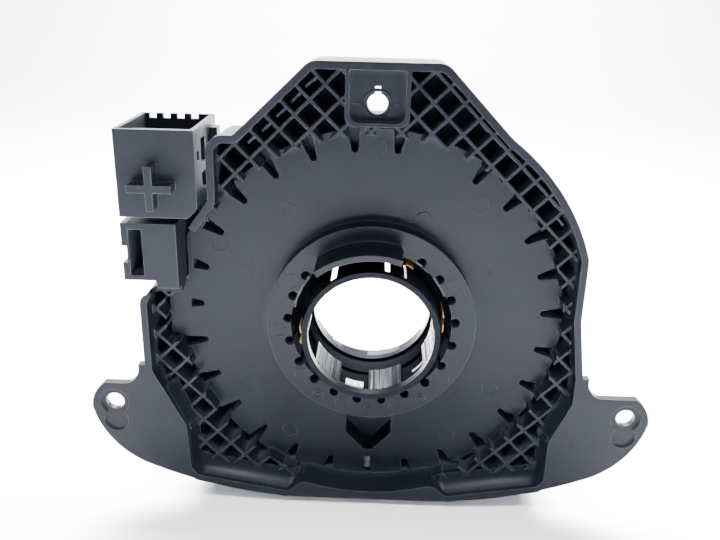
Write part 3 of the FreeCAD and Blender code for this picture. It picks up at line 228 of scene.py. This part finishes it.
class Finishes(Enum):
    """The finishes that the part's pieces have: name, two linear colours, lowest and highest roughness."""

    # The hollow light colours of SATIN_BLACK and MATT_BLACK are painted light in deep places.
    SATIN_BLACK = Finish("satin_black", (0.0048, 0.006, 0.0096), (0.0082, 0.0098, 0.0144), 0.26, 0.4,
                         edge=(0.16, 0.17, 0.19), edge_width=0.3, specular=0.09, hollow_light=(0.05, 0.059, 0.08))
    SLOPE_BLACK = Finish("slope_black", (0.006, 0.0075, 0.012), (0.009, 0.011, 0.0165), 0.2, 0.3,
                         edge=(0.06, 0.065, 0.075), edge_width=0.2, grain=1400.0, grain_depth=0.07,
                         specular=0.02)
    HUB_BLACK = Finish("hub_black", (0.004, 0.005, 0.008), (0.0065, 0.008, 0.0115), 0.18, 0.26,
                       edge=(0.06, 0.065, 0.075), edge_share=0.4, edge_width=0.12, specular=0.025)
    # Flat black that reflects nothing; the groove sheet, the screens and the dimple patches use it as painted
    # shade.
    DEEP_BLACK = Finish("deep_black", (0.0035, 0.0042, 0.006), (0.006, 0.007, 0.009), 0.75, 0.9,
                        edge=(0.03, 0.032, 0.036), edge_share=0.3, specular=0.0)
    POST_GLOSS = Finish("post_gloss", (0.009, 0.0105, 0.0145), (0.013, 0.0148, 0.019), 0.2, 0.27,
                        edge=(0.06, 0.065, 0.075), edge_share=0.3, edge_width=0.1, specular=0.09)
    LINE_GREY = Finish("line_grey", (0.01, 0.012, 0.017), (0.016, 0.0185, 0.025), 0.42, 0.5,
                       edge=(0.05, 0.055, 0.065), edge_share=0.2, edge_width=0.1, specular=0.05)
    MATT_BLACK = Finish("matt_black", (0.008, 0.0094, 0.0138), (0.0122, 0.014, 0.0195), 0.42, 0.55,
                        grain_depth=0.02, edge=(0.2, 0.205, 0.22), edge_share=0.6, specular=0.1,
                        hollow_light=(0.04, 0.048, 0.068))
    GREY = Finish("grey_moulding", (0.09, 0.092, 0.096), (0.13, 0.133, 0.14), 0.32, 0.45,
                  edge=(0.3, 0.3, 0.31))
    LUG_GREY = Finish("lug_grey", (0.05, 0.053, 0.06), (0.075, 0.078, 0.086), 0.3, 0.42,
                      edge=(0.3, 0.3, 0.32), specular=0.2)
    PALE = Finish("pale_moulding", (0.62, 0.61, 0.57), (0.7, 0.69, 0.65), 0.35, 0.5, edge=(0.8, 0.8, 0.78))
    AMBER = Finish("amber_moulding", (0.72, 0.46, 0.05), (0.8, 0.55, 0.1), 0.35, 0.5, edge=(0.85, 0.65, 0.3))
    STEEL = Finish("zinc_steel", (0.5, 0.5, 0.52), (0.6, 0.6, 0.61), 0.25, 0.4, metallic=1.0,
                   edge=(0.8, 0.8, 0.8))
    TINNED = Finish("tinned_brass", (0.72, 0.6, 0.36), (0.8, 0.7, 0.5), 0.2, 0.35, metallic=1.0,
                    edge=(0.9, 0.8, 0.6))
    MAGNET = Finish("sintered_magnet", (0.05, 0.05, 0.052), (0.08, 0.08, 0.085), 0.4, 0.55, metallic=0.6)
    BOARD = Finish("green_lacquer", (0.01, 0.09, 0.035), (0.015, 0.13, 0.05), 0.22, 0.35,
                   edge=(0.2, 0.3, 0.15))
    FILM = Finish("amber_film", (0.5, 0.25, 0.05), (0.68, 0.38, 0.1), 0.22, 0.4, edge=(0.9, 0.6, 0.25),
                  coat=0.4)


NODE_FINISHES = {
    "rear_housing": Finishes.SATIN_BLACK,
    "cassette_screws": Finishes.STEEL,
    "cassette_housing": Finishes.MATT_BLACK,
    "retaining_ring": Finishes.MATT_BLACK,
    "rotor_hub": Finishes.HUB_BLACK,
    "rotor_plate": Finishes.MATT_BLACK,
    "drive_gear": Finishes.DEEP_BLACK,
    "first_sensor_gear": Finishes.PALE,
    "second_sensor_gear": Finishes.PALE,
    "first_magnet": Finishes.MAGNET,
    "second_magnet": Finishes.MAGNET,
    "sensor_board": Finishes.BOARD,
    "sensor_chips": Finishes.MATT_BLACK,
    "connector_box": Finishes.MATT_BLACK,
    "connector_partition": Finishes.MATT_BLACK,
    "connector_pins": Finishes.TINNED,
    "lower_connector": Finishes.MATT_BLACK,
    "lower_pins": Finishes.TINNED,
    "terminal_blocks": Finishes.DEEP_BLACK,
    "ribbon_tabs": Finishes.FILM,
    "signal_socket": Finishes.GREY,
    "signal_socket_pins": Finishes.TINNED,
    "airbag_socket": Finishes.AMBER,
    "airbag_socket_pins": Finishes.TINNED,
    "ribbon_cable": Finishes.FILM,
}


@dataclass
class Wardrobe:
    """Builds each finish once and dresses pieces in it."""

    made: dict[Finishes, bpy.types.Material] = field(default_factory=dict)

    def material(self, finish: Finishes) -> bpy.types.Material:
        """Returns the finish's material, made on first use."""
        if finish not in self.made:
            self.made[finish] = finish.value.build()
        return self.made[finish]

    def dress(self, piece: bpy.types.Object, finish: Finishes) -> None:
        """Puts one finish on the whole piece.

        Args:
            piece: the object to dress.
            finish: what it is made of.
        """
        slots = piece.data.materials
        if not slots:
            slots.append(None)
        for number in range(len(slots)):
            slots[number] = self.material(finish)

    def dress_nodes(self) -> None:
        """Dresses every node of the frame."""
        for node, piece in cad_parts.items():
            self.dress(piece, NODE_FINISHES[node])
            LOG.info("dressed %s", node)


def linked_piece(name: str, mesh: bpy.types.Mesh) -> bpy.types.Object:
    """Makes a mesh an object at the origin and links it to the scene."""
    piece = bpy.data.objects.new(name, mesh)
    bpy.context.scene.collection.objects.link(piece)
    return piece


def cell_quads(numbers: np.ndarray) -> np.ndarray:
    """Quads over a grid of point numbers: cell (i, j) joins (i, j), (i+1, j), (i+1, j+1) and (i, j+1)."""
    corners = [numbers[:-1, :-1], numbers[1:, :-1], numbers[1:, 1:], numbers[:-1, 1:]]
    return np.stack(corners, axis=-1).reshape(-1, 4)


def sheet_piece(name: str, points: np.ndarray) -> bpy.types.Object:
    """Joins one grid of points into an open sheet that is shaded smooth.

    Args:
        name: the piece's name.
        points: an array of rows, columns and three coordinates, in metres.

    Returns:
        The new object.
    """
    rows, columns = points.shape[:2]
    quads = cell_quads(np.arange(rows * columns).reshape(rows, columns))
    mesh = bpy.data.meshes.new(name)
    mesh.from_pydata(points.reshape(-1, 3), [], quads)
    mesh.polygons.foreach_set("use_smooth", np.full(len(quads), True))
    mesh.update()
    return linked_piece(name, mesh)


def swept_piece(name: str, sweeps: list[np.ndarray], ring: bool = False) -> bpy.types.Object:
    """Joins sweeps of a closed section, in millimetres, into one piece with its faces outward.

    Args:
        name: the piece's name.
        sweeps: arrays of rows along the sweep, columns round the section, and three coordinates.
        ring: whether the last row joins the first; otherwise one face closes each end.

    Returns:
        The new object.
    """
    points, faces = [], []
    before = 0
    for sweep in sweeps:
        rows, columns = sweep.shape[:2]
        numbers = before + np.arange(rows * columns).reshape(rows, columns)
        around = np.hstack([numbers, numbers[:, :1]])
        if ring:
            around = np.vstack([around, around[:1]])
        faces += cell_quads(around).tolist()
        if not ring:
            faces += [numbers[0].tolist(), numbers[-1][::-1].tolist()]
        points.append(sweep.reshape(-1, 3))
        before += rows * columns
    mesh = bpy.data.meshes.new(name)
    mesh.from_pydata(np.vstack(points) * MM, [], faces)
    work = bmesh.new()
    work.from_mesh(mesh)
    bmesh.ops.recalc_face_normals(work, faces=work.faces)
    work.to_mesh(mesh)
    work.free()
    mesh.update()
    return linked_piece(name, mesh)


def smooth_by_angle(piece: bpy.types.Object, limit: float) -> None:
    """Shades a piece smooth, with its edges kept sharp where two faces turn by more than a limit.

    Args:
        piece: the piece to shade.
        limit: the greatest turn that is still smooth.
    """
    work = bmesh.new()
    work.from_mesh(piece.data)
    for face in work.faces:
        face.smooth = True
    for edge in work.edges:
        edge.smooth = len(edge.link_faces) == 2 and edge.calc_face_angle(0.0) < math.radians(limit)
    work.to_mesh(piece.data)
    work.free()


@dataclass
class MouldedMark:
    """Makes small pieces of one finish and seats them on one body."""

    wardrobe: Wardrobe
    finish: Finishes = Finishes.SATIN_BLACK
    slot: str = "black_plastic"
    body: Body = Body.STATOR
    foot: float = 0.06
    ring_shoulder: float = 0.8
    soft_edge: float = 0.15
    bar_rows: int = 4
    bar_top: float = 0.6
    arc_top: float = 0.7
    arc_step: float = 3.0
    arc_least_rows: int = 4
    arc_smooth: float = 25.0
    stud_soft: float = 0.3
    stud_shoulder: float = 0.85
    stud_shoulder_drop: float = 0.06
    stud_crown: float = 0.45

    def seat(self, piece: bpy.types.Object) -> bpy.types.Object:
        """Dresses a finished piece and lets it ride on its body."""
        self.wardrobe.dress(piece, self.finish)
        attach(piece, self.body.value)
        return piece

    def block_section(self, width: float, level: float, deep: float, top: float) -> np.ndarray:
        """A block's section with softened upper edges: up one side, over the top and down the other.

        Args:
            width: the block's width.
            level: the top's place along y.
            deep: how far the block reaches away from the column.
            top: the share of the width that is flat at the top.

        Returns:
            Six pairs of a place across the block and a place along y.
        """
        half = width / 2
        edge = level + self.soft_edge
        return np.array([(-half, level + deep), (-half, edge), (-half * top, level), (half * top, level),
                         (half, edge), (half, level + deep)])

    def rings(self, name: str, centres: tuple[Pair, ...], radius: float, level: float, width: float = 0.35,
              height: float = 0.12, around: int = 40) -> bpy.types.Object:
        """Thin raised rings: a low rounded ridge swept round a circle about each centre.

        Args:
            name: the piece's name.
            centres: the rings' centres as x and z.
            radius: the circles' radius.
            level: the face that they stand on, along y.
            width: the ridge's width.
            height: the ridge's height towards the column.
            around: points round each circle.

        Returns:
            One piece with every ring.
        """
        turn = np.linspace(0, 2 * np.pi, around, endpoint=False)
        shoulder = -height * self.ring_shoulder
        section = np.array([(-width / 2, self.foot), (-width / 4, shoulder), (0, -height),
                            (width / 4, shoulder), (width / 2, self.foot)])
        away = radius + section[None, :, 0]
        rings = []
        for x, z in centres:
            rings.append(np.stack([
                x + away * np.cos(turn)[:, None],
                np.broadcast_to(level + section[None, :, 1], (around, len(section))),
                z + away * np.sin(turn)[:, None],
            ], axis=-1))
        return self.seat(swept_piece(name, rings, ring=True))

    def bars(self, name: str, ends: tuple[Line, ...], level: float, deep: float,
             width: float) -> bpy.types.Object:
        """Short upright bars with softened tops, each along the line between two points.

        Args:
            name: the piece's name.
            ends: for each bar its two ends as x, z, x, z.
            level: the top's place along y.
            deep: how far the bars reach away from the column, to what carries them.
            width: the bars' width.

        Returns:
            One piece with every bar.
        """
        section = self.block_section(width, level, deep, self.bar_top)
        steps = np.linspace(0, 1, self.bar_rows)[:, None, None]
        bars = []
        for x_start, z_start, x_stop, z_stop in ends:
            start, stop = np.array((x_start, z_start)), np.array((x_stop, z_stop))
            along = (stop - start) / np.linalg.norm(stop - start)
            side = np.array((-along[1], along[0]))
            flat = start + (stop - start) * steps + side * section[None, :, :1]
            height = np.broadcast_to(section[None, :, 1], flat.shape[:2])
            bars.append(np.stack([flat[..., 0], height, flat[..., 1]], axis=-1))
        return self.seat(swept_piece(name, bars))

    def arcs(self, name: str, spans: tuple[Pair, ...], radius: float, level: float, deep: float,
             width: float) -> bpy.types.Object:
        """Curved bars round the bore's axis: a softened block section swept along an arc.

        Args:
            name: the piece's name.
            spans: for each bar its two end angles, clockwise from the top.
            radius: the arcs' middle radius.
            level: the top's place along y.
            deep: how far the bars reach away from the column.
            width: the bars' width along the radius.

        Returns:
            One piece with every bar.
        """
        section = self.block_section(width, level, deep, self.arc_top)
        away = radius + section[None, :, 0]
        bars = []
        for start, stop in spans:
            rows = max(self.arc_least_rows, int(abs(stop - start) / self.arc_step))
            turn = np.radians(np.linspace(start, stop, rows))[:, None]
            height = np.broadcast_to(section[None, :, 1], (rows, len(section)))
            bars.append(np.stack([away * np.sin(turn), height, away * np.cos(turn)], axis=-1))
        piece = swept_piece(name, bars)
        smooth_by_angle(piece, self.arc_smooth)
        return self.seat(piece)

    def studs(self, name: str, centres: tuple[Pair, ...], radius: float, level: float, deep: float,
              around: int = 20) -> bpy.types.Object:
        """Round studs with softened tops, as lathed columns about each centre.

        Args:
            name: the piece's name.
            centres: the studs' centres as x and z.
            radius: their radius.
            level: the top's place along y.
            deep: their height, down to what carries them.
            around: points round each stud.

        Returns:
            One piece with every stud.
        """
        turn = np.linspace(0, 2 * np.pi, around, endpoint=False)
        profile = np.array([(radius, level + deep), (radius, level + self.stud_soft),
                            (radius * self.stud_shoulder, level + self.stud_shoulder_drop),
                            (radius * self.stud_crown, level)])
        away, height = profile[:, :1], profile[:, 1:]
        studs = []
        for x, z in centres:
            studs.append(np.stack([
                x + away * np.cos(turn)[None, :],
                np.broadcast_to(height, (len(profile), around)),
                z + away * np.sin(turn)[None, :],
            ], axis=-1))
        return self.seat(swept_piece(name, studs))


@dataclass
class PanMarks:
    """The pan's moulded marks: ejector rings, wall ledges, collar dimples, small tabs and the boss's ring."""

    wardrobe: Wardrobe
    disc_face: float = 0.0
    collar_face: float = -7.0
    boss_face: float = -8.0
    disc_ejectors: tuple[Pair, ...] = (
        (-40.1, 16.5), (39.5, 18.9), (-42.0, -26.9), (41.0, -24.9), (0.5, 57.3), (-27.1, 35.7),
        (-49.6, 24.6), (11.9, 35.9), (27.5, -44.0), (-27.5, -44.0), (33.0, 40.0))
    collar_ejectors: tuple[Pair, ...] = (
        (-25.8, 15.1), (-30.0, -2.2), (-22.7, -18.2), (-9.1, -28.7), (8.8, -28.4), (24.0, -18.3),
        (25.9, 15.1))
    dimples: tuple[Pair, ...] = ((-17.2, -25.4), (17.1, -25.6), (-0.2, -30.3))
    ledges: tuple[Line, ...] = (
        (-21.6, 75.1, -18.1, 78.1), (-25.8, 70.6, -22.8, 73.6), (-30.4, 66.1, -27.3, 68.8),
        (-34.7, 61.7, -31.9, 64.2), (-39.1, 58.0, -36.6, 60.2), (30.6, 66.5, 33.3, 63.3),
        (35.1, 62.1, 37.8, 59.1), (39.5, 57.4, 42.3, 54.7), (44.5, 53.3, 47.2, 50.5),
        (49.0, 48.8, 51.9, 45.9), (53.4, 43.8, 56.0, 40.9), (56.3, 37.8, 58.9, 34.8))
    neck: tuple[Line, ...] = ((-2.9, -49.4, -2.4, -49.4), (2.4, -49.4, 2.9, -49.4))
    hook: tuple[Line, ...] = ((-38.6, -1.5, -37.2, -0.6), (-37.3, -0.7, -35.9, -0.3))
    arrow: tuple[Line, ...] = (
        (11.7, 33.6, 13.8, 36.3), (13.7, 36.2, 16.2, 37.0), (16.1, 37.0, 18.2, 35.1))
    keyhole: tuple[Line, ...] = ((0.0, -54.0, 0.0, -58.3),)
    boss: tuple[Pair, ...] = ((0.0, 71.5),)
    ticks: tuple[Line, ...] = ((-6.4, 71.5, -5.0, 71.5), (5.0, 71.5, 6.4, 71.5))

    def build(self) -> None:
        """Makes every mark."""
        pan = MouldedMark(self.wardrobe)
        lug = MouldedMark(self.wardrobe, Finishes.LUG_GREY)
        pan.rings("disc_ejector_rings", self.disc_ejectors, radius=2.6, level=self.disc_face)
        pan.rings("collar_ejector_rings", self.collar_ejectors, radius=2.3, level=self.collar_face,
                  width=0.3, height=0.1)
        pan.rings("collar_dimples", self.dimples, radius=1.5, level=self.collar_face, width=0.5, height=0.2)
        pan.studs("collar_dimple_studs", self.dimples, radius=0.6, level=-7.25, deep=0.35)
        pan.bars("upper_ledges", self.ledges, level=-3.0, deep=10.1, width=0.9)
        pan.bars("neck_lugs", self.neck, level=-0.8, deep=0.9, width=0.9)
        pan.bars("hook_mark", self.hook, level=-0.15, deep=0.2, width=0.3)
        pan.bars("arrow_tab", self.arrow, level=-0.3, deep=0.4, width=0.4)
        lug.bars("keyhole_tab", self.keyhole, level=-0.4, deep=7.4, width=1.9)
        pan.rings("boss_ring", self.boss, radius=4.0, level=self.boss_face, width=1.0, height=0.35)
        pan.bars("boss_ticks", self.ticks, level=-8.25, deep=0.35, width=0.5)
        LOG.info("pan marks ready")


@dataclass
class FootSlopes:
    """The smooth hollow slopes between the pan's lower walls and its lattice."""

    wardrobe: Wardrobe
    wall: tuple[Pair, ...] = ((66.7, -24.0), (60.4, -38.3), (60.4, -52.8), (58.6, -56.2), (27.2, -61.6))
    side_width: float = 2.5
    low_width: float = 5.1
    corner: float = 2.6
    corner_share: float = 0.48
    corner_points: int = 9
    slope_points: int = 14
    foot_level: float = 5.2
    under_level: float = 3.5
    rise: float = 4.8
    hollow: float = 1.6
    wall_sink: float = 0.5
    smooth: float = 35.0

    def path(self) -> tuple[np.ndarray, np.ndarray]:
        """The wall's foot line with its corners cut by parabolas, and the slope's width along it."""
        wall = np.array(self.wall)
        points, widths = [wall[0]], [self.side_width]
        for number in range(1, len(wall) - 1):
            before, here, after = wall[number - 1:number + 2]
            into, out = before - here, after - here
            reach_in = min(self.corner, np.linalg.norm(into) * self.corner_share)
            reach_out = min(self.corner, np.linalg.norm(out) * self.corner_share)
            start = here + into / np.linalg.norm(into) * reach_in
            stop = here + out / np.linalg.norm(out) * reach_out
            last = number == len(wall) - 2
            for share in np.linspace(0, 1, self.corner_points):
                points.append((1 - share) ** 2 * start + 2 * share * (1 - share) * here + share ** 2 * stop)
                widths.append(self.side_width + (self.low_width - self.side_width) * share * last)
        points.append(wall[-1])
        widths.append(self.low_width)
        return np.array(points), np.array(widths)

    def build(self) -> None:
        """Sweeps the hollow profile along both walls; its level falls as a power of the way inward."""
        points, widths = self.path()
        along = np.gradient(points, axis=0)
        along /= np.linalg.norm(along, axis=1)[:, None]
        inward = np.stack([along[:, 1], -along[:, 0]], axis=-1)
        share = np.linspace(0, 1, self.slope_points)
        level = self.foot_level + self.rise * (1 - share) ** self.hollow
        away = np.concatenate([share[None, :] * widths[:, None], widths[:, None],
                               np.full((len(widths), 2), -self.wall_sink)], axis=1)
        height = np.concatenate([level, [self.under_level, self.under_level, level[0]]])
        height = np.broadcast_to(-height, away.shape)
        flat = points[:, None, :] + away[..., None] * inward[:, None, :]
        slopes = [np.stack([side * flat[..., 0], height, flat[..., 1]], axis=-1) for side in (1, -1)]
        piece = swept_piece("foot_slopes", slopes)
        smooth_by_angle(piece, self.smooth)
        MouldedMark(self.wardrobe, Finishes.SLOPE_BLACK).seat(piece)


@dataclass
class HubDetails:
    """What shows inside the hub and in the gap round it: post faces, screens of painted shade, ledges and
    ribbon ends.
    """

    wardrobe: Wardrobe
    bore: float = 20.0
    foot: float = 0.06
    flat_share: float = 0.3
    bar_rows: int = 3
    post_angles: tuple[float, ...] = (45.0, 105.0, 165.0, 225.0, 285.0, 345.0)
    ridge_offsets: tuple[float, ...] = (-10.5, 11.0)
    line_offsets: tuple[float, ...] = (-8.0, 5.6)
    band_offsets: tuple[float, ...] = (-4.6, 2.2, 8.6)
    post_half: float = 13.8
    near_end: float = -12.4
    far_end: float = 0.6
    groove_shade_spans: tuple[Pair, ...] = ((0.1, 120.0), (120.1, 240.0), (240.1, 360.0))
    window_spans: tuple[Pair, ...] = ((59.0, 91.0), (119.0, 151.0), (179.0, 211.0), (239.0, 271.0))
    upper_spans: tuple[Pair, ...] = ((-0.5, 10.3), (14.6, 27.2), (299.5, 322.0))
    rim_spans: tuple[Pair, ...] = ((121.0, 150.0), (183.0, 210.0), (222.0, 246.0))
    ledge_spans: tuple[Pair, ...] = ((-79.0, -52.0), (-47.0, -39.0), (31.0, 44.0), (50.0, 66.0))
    ribbon_spans: tuple[Pair, ...] = ((-106.0, -103.0), (77.0, 79.5))
    top_spans: tuple[Pair, ...] = ((185.5, 201.5),)
    terminal_line_spans: tuple[Pair, ...] = ((124.0, 139.0),)
    pin_spans: tuple[Pair, ...] = ((189.6, 190.8), (195.6, 196.6))

    def wall_bars(self, mark: MouldedMark, name: str, angles: np.ndarray, start: float, stop: float,
                  width: float, height: float) -> bpy.types.Object:
        """Ridges along the bore's wall: a flat-topped section at each angle, drawn along y.

        Args:
            mark: what dresses and seats the piece.
            name: the piece's name.
            angles: where the ridges stand, clockwise from the top.
            start: their first end along y.
            stop: their other end along y.
            width: the ridges' width round the wall.
            height: how far they stand into the bore.

        Returns:
            One piece with every ridge.
        """
        flat = width * self.flat_share
        section = np.array([(-width / 2, self.foot), (-flat, -height), (flat, -height),
                            (width / 2, self.foot)])
        away = self.bore + section[:, 1]
        steps = np.linspace(start, stop, self.bar_rows)
        shape = (self.bar_rows, len(section))
        bars = []
        for angle in angles:
            turn = math.radians(angle) + section[:, 0] / self.bore
            bars.append(np.stack([
                np.broadcast_to(away * np.sin(turn), shape),
                np.broadcast_to(steps[:, None], shape),
                np.broadcast_to(away * np.cos(turn), shape),
            ], axis=-1))
        return mark.seat(swept_piece(name, bars))

    def post_bars(self, mark: MouldedMark, name: str, offsets: tuple[float, ...], width: float,
                  height: float) -> None:
        """Ridges along every post, at some angles from the post's middle.

        Args:
            mark: what dresses and seats the piece.
            name: the piece's name.
            offsets: the ridges' angles from the post's middle.
            width: the ridges' width round the wall.
            height: how far they stand into the bore.
        """
        angles = (np.array(self.post_angles)[:, None] + np.array(offsets)[None, :]).ravel()
        self.wall_bars(mark, name, angles, self.near_end, self.far_end, width, height)

    def build(self) -> None:
        """Makes the posts' skins and lines, the painted shade sheets and screens, the ledges, terminals and
        ribbon ends.
        """
        hub = MouldedMark(self.wardrobe, Finishes.HUB_BLACK, "black_plastic", Body.ROTOR)
        dark = MouldedMark(self.wardrobe, Finishes.DEEP_BLACK, "black_plastic", Body.ROTOR)
        bands = MouldedMark(self.wardrobe, Finishes.LINE_GREY, "black_plastic", Body.ROTOR)
        skin = MouldedMark(self.wardrobe, Finishes.POST_GLOSS, "black_plastic", Body.ROTOR)
        ledge = MouldedMark(self.wardrobe, Finishes.LUG_GREY, "dark_plastic", Body.STATOR)
        film = MouldedMark(self.wardrobe, Finishes.FILM, "ribbon", Body.ROTOR)
        pale = MouldedMark(self.wardrobe, Finishes.PALE, "pale_plastic", Body.ROTOR)
        self.post_bars(hub, "post_ridges", self.ridge_offsets, width=0.8, height=0.2)
        self.post_bars(dark, "post_lines", self.line_offsets, width=0.45, height=0.05)
        self.post_bars(bands, "post_bands", self.band_offsets, width=1.5, height=0.05)
        post_spans = tuple((post - self.post_half, post + self.post_half) for post in self.post_angles)
        skin.arcs("post_faces", post_spans, radius=20.02, level=self.near_end, deep=13.0, width=0.1)
        # Painted shade: a flat black sheet in the groove stands in for the shade there.
        dark.arcs("groove_shade_sheet", self.groove_shade_spans, radius=21.1, level=1.05, deep=8.4, width=0.18)
        # Painted shade: a flat black patch on each post stands in for its dimple's shade.
        self.wall_bars(dark, "post_dimple_shade", np.array(self.post_angles), start=-9.6, stop=-9.0, width=0.6,
                       height=0.03)
        # Painted shade: flat black screens behind the hub's windows and gaps stand in for the shade inside.
        dark.arcs("window_screens", self.window_spans, radius=21.94, level=-12.3, deep=15.3, width=0.26)
        dark.arcs("upper_screens", self.upper_spans, radius=21.4, level=-12.45, deep=13.4, width=0.66)
        hub.arcs("far_rim_steps", self.rim_spans, radius=20.9, level=12.2, deep=3.2, width=1.6)
        # Painted reflection: the ledges' grey colour stands in for the light that black ledges reflect.
        ledge.arcs("gap_ledges", self.ledge_spans, radius=25.6, level=-4.5, deep=2.0, width=0.9)
        film.arcs("ribbon_ends", self.ribbon_spans, radius=23.6, level=-8.0, deep=11.0, width=0.3)
        pale.arcs("terminal_tops", self.top_spans, radius=21.42, level=-9.6, deep=3.4, width=0.8)
        pale.arcs("terminal_lines", self.terminal_line_spans, radius=21.57, level=-6.6, deep=0.6, width=0.5)
        dark.arcs("terminal_pins", self.pin_spans, radius=20.97, level=-9.0, deep=1.6, width=0.14)
        LOG.info("hub details ready")


@dataclass
class Studio:
    """The pale floor, the soft lights, the room's light and the camera."""

    floor_level: float = -0.0665
    floor_half: float = 1.6
    floor_rows: int = 24
    floor_columns: int = 3
    bend_start: float = 0.9
    bend_radius: float = 0.5
    floor_colour: Triple = (0.93, 0.93, 0.94)
    floor_roughness: float = 0.6
    room_colour: Triple = (0.7, 0.83, 1.0)
    room_strength: float = 0.5
    focal_pixels: float = 773.8
    image_width: int = 720
    sensor: float = 36.0
    clip: Pair = (0.01, 20.0)
    eye: Triple = (0.88, -235.7, 104.8)
    pitch: float = 20.47
    yaw: float = -1.23
    roll: float = 1.34

    def camera(self) -> None:
        """Places the camera from its turn about each axis; in its own frame x is right, y down, z ahead."""
        yaw, pitch, roll = (math.radians(angle) for angle in (self.yaw, self.pitch, self.roll))
        base = Matrix(((1, 0, 0), (0, 0, -1), (0, 1, 0)))
        turn = Matrix(((math.cos(yaw), -math.sin(yaw), 0), (math.sin(yaw), math.cos(yaw), 0), (0, 0, 1)))
        nod = Matrix(((1, 0, 0), (0, math.cos(pitch), -math.sin(pitch)),
                      (0, math.sin(pitch), math.cos(pitch))))
        lean = Matrix(((math.cos(roll), -math.sin(roll), 0), (math.sin(roll), math.cos(roll), 0), (0, 0, 1)))
        world_to_eye = lean @ nod @ base @ turn
        flip = Matrix(((1, 0, 0), (0, -1, 0), (0, 0, -1)))
        data = bpy.data.cameras.new("camera")
        data.sensor_width = self.sensor
        data.lens = self.focal_pixels * self.sensor / self.image_width
        data.clip_start, data.clip_end = self.clip
        camera = bpy.data.objects.new("camera", data)
        camera.matrix_world = Matrix.Translation([part * MM for part in self.eye]) @ (
            world_to_eye.transposed() @ flip).to_4x4()
        bpy.context.scene.collection.objects.link(camera)
        bpy.context.scene.camera = camera

    def floor(self) -> None:
        """A wide pale floor that curves up far behind: level, then a quarter circle, then upright."""
        quarter = math.pi / 2
        along = np.linspace(-self.floor_half, self.floor_half, self.floor_rows)
        across = np.linspace(-self.floor_half, self.floor_half, self.floor_columns)
        rise = np.clip(along - self.bend_start, 0, None)
        angle = np.clip(rise / self.bend_radius, 0, quarter)
        y = np.where(along < self.bend_start, along, self.bend_start + self.bend_radius * np.sin(angle))
        upright = np.clip(rise - self.bend_radius * quarter, 0, None)
        z = self.floor_level + self.bend_radius * (1 - np.cos(angle)) + upright
        shape = (self.floor_rows, self.floor_columns)
        points = np.stack([
            np.broadcast_to(across[None, :], shape),
            np.broadcast_to(y[:, None], shape),
            np.broadcast_to(z[:, None], shape),
        ], axis=-1)
        floor = sheet_piece("pale_floor", points[:, ::-1])
        material = bpy.data.materials.new("pale_paper")
        material.use_nodes = True
        shader = material.node_tree.nodes["Principled BSDF"]
        shader.inputs["Base Color"].default_value = (*self.floor_colour, 1.0)
        shader.inputs["Roughness"].default_value = self.floor_roughness
        floor.data.materials.append(material)

    def light(self, name: str, spot: Triple, size: float, power: float, aim: Triple = (0.0, 0.0, 0.0),
              spread: float = 180.0) -> None:
        """Adds one square soft light.

        Args:
            name: the light's name.
            spot: where it stands.
            size: its side.
            power: its power in watts.
            aim: the point that it looks at.
            spread: how wide its beam is.
        """
        data = bpy.data.lights.new(name, "AREA")
        data.spread = math.radians(spread)
        data.size = size
        data.energy = power
        light = bpy.data.objects.new(name, data)
        light.location = spot
        light.rotation_mode = "QUATERNION"
        light.rotation_quaternion = (Vector(aim) - light.location).to_track_quat("-Z", "Y")
        bpy.context.scene.collection.objects.link(light)

    def room(self) -> None:
        """Makes the pale light that comes from all round."""
        world = bpy.data.worlds.new("pale_room")
        world.use_nodes = True
        background = world.node_tree.nodes["Background"]
        background.inputs["Color"].default_value = (*self.room_colour, 1.0)
        background.inputs["Strength"].default_value = self.room_strength
        bpy.context.scene.world = world

    def build(self) -> None:
        """Makes the camera, the floor, the lights and the room's light."""
        self.camera()
        self.floor()
        self.light("back_soft", (0.0, 0.75, 0.75), size=1.1, power=130.0, aim=(0.0, 0.85, 0.0))
        self.light("floor_soft", (0.0, 0.42, 0.5), size=0.5, power=28.0, aim=(0.0, 0.25, -0.07), spread=90.0)
        self.light("fore_soft", (0.0, -0.34, 0.6), size=0.16, power=7.4, aim=(0.0, -0.34, -0.07), spread=58.0)
        self.light("front_soft", (-0.22, -0.5, 0.55), size=0.3, power=1.4, aim=(-0.05, -0.12, 0.0))
        self.light("right_soft", (0.8, -0.25, 0.4), size=0.5, power=2.5)
        self.room()
        LOG.info("studio ready")


def main() -> None:
    """Dresses the frame, adds the small pieces and sets up the studio."""
    logging.basicConfig(level=logging.INFO, format="%(message)s")
    wardrobe = Wardrobe()
    wardrobe.dress_nodes()
    PanMarks(wardrobe).build()
    FootSlopes(wardrobe).build()
    HubDetails(wardrobe).build()
    Studio().build()


if __name__ == "__main__":
    main()
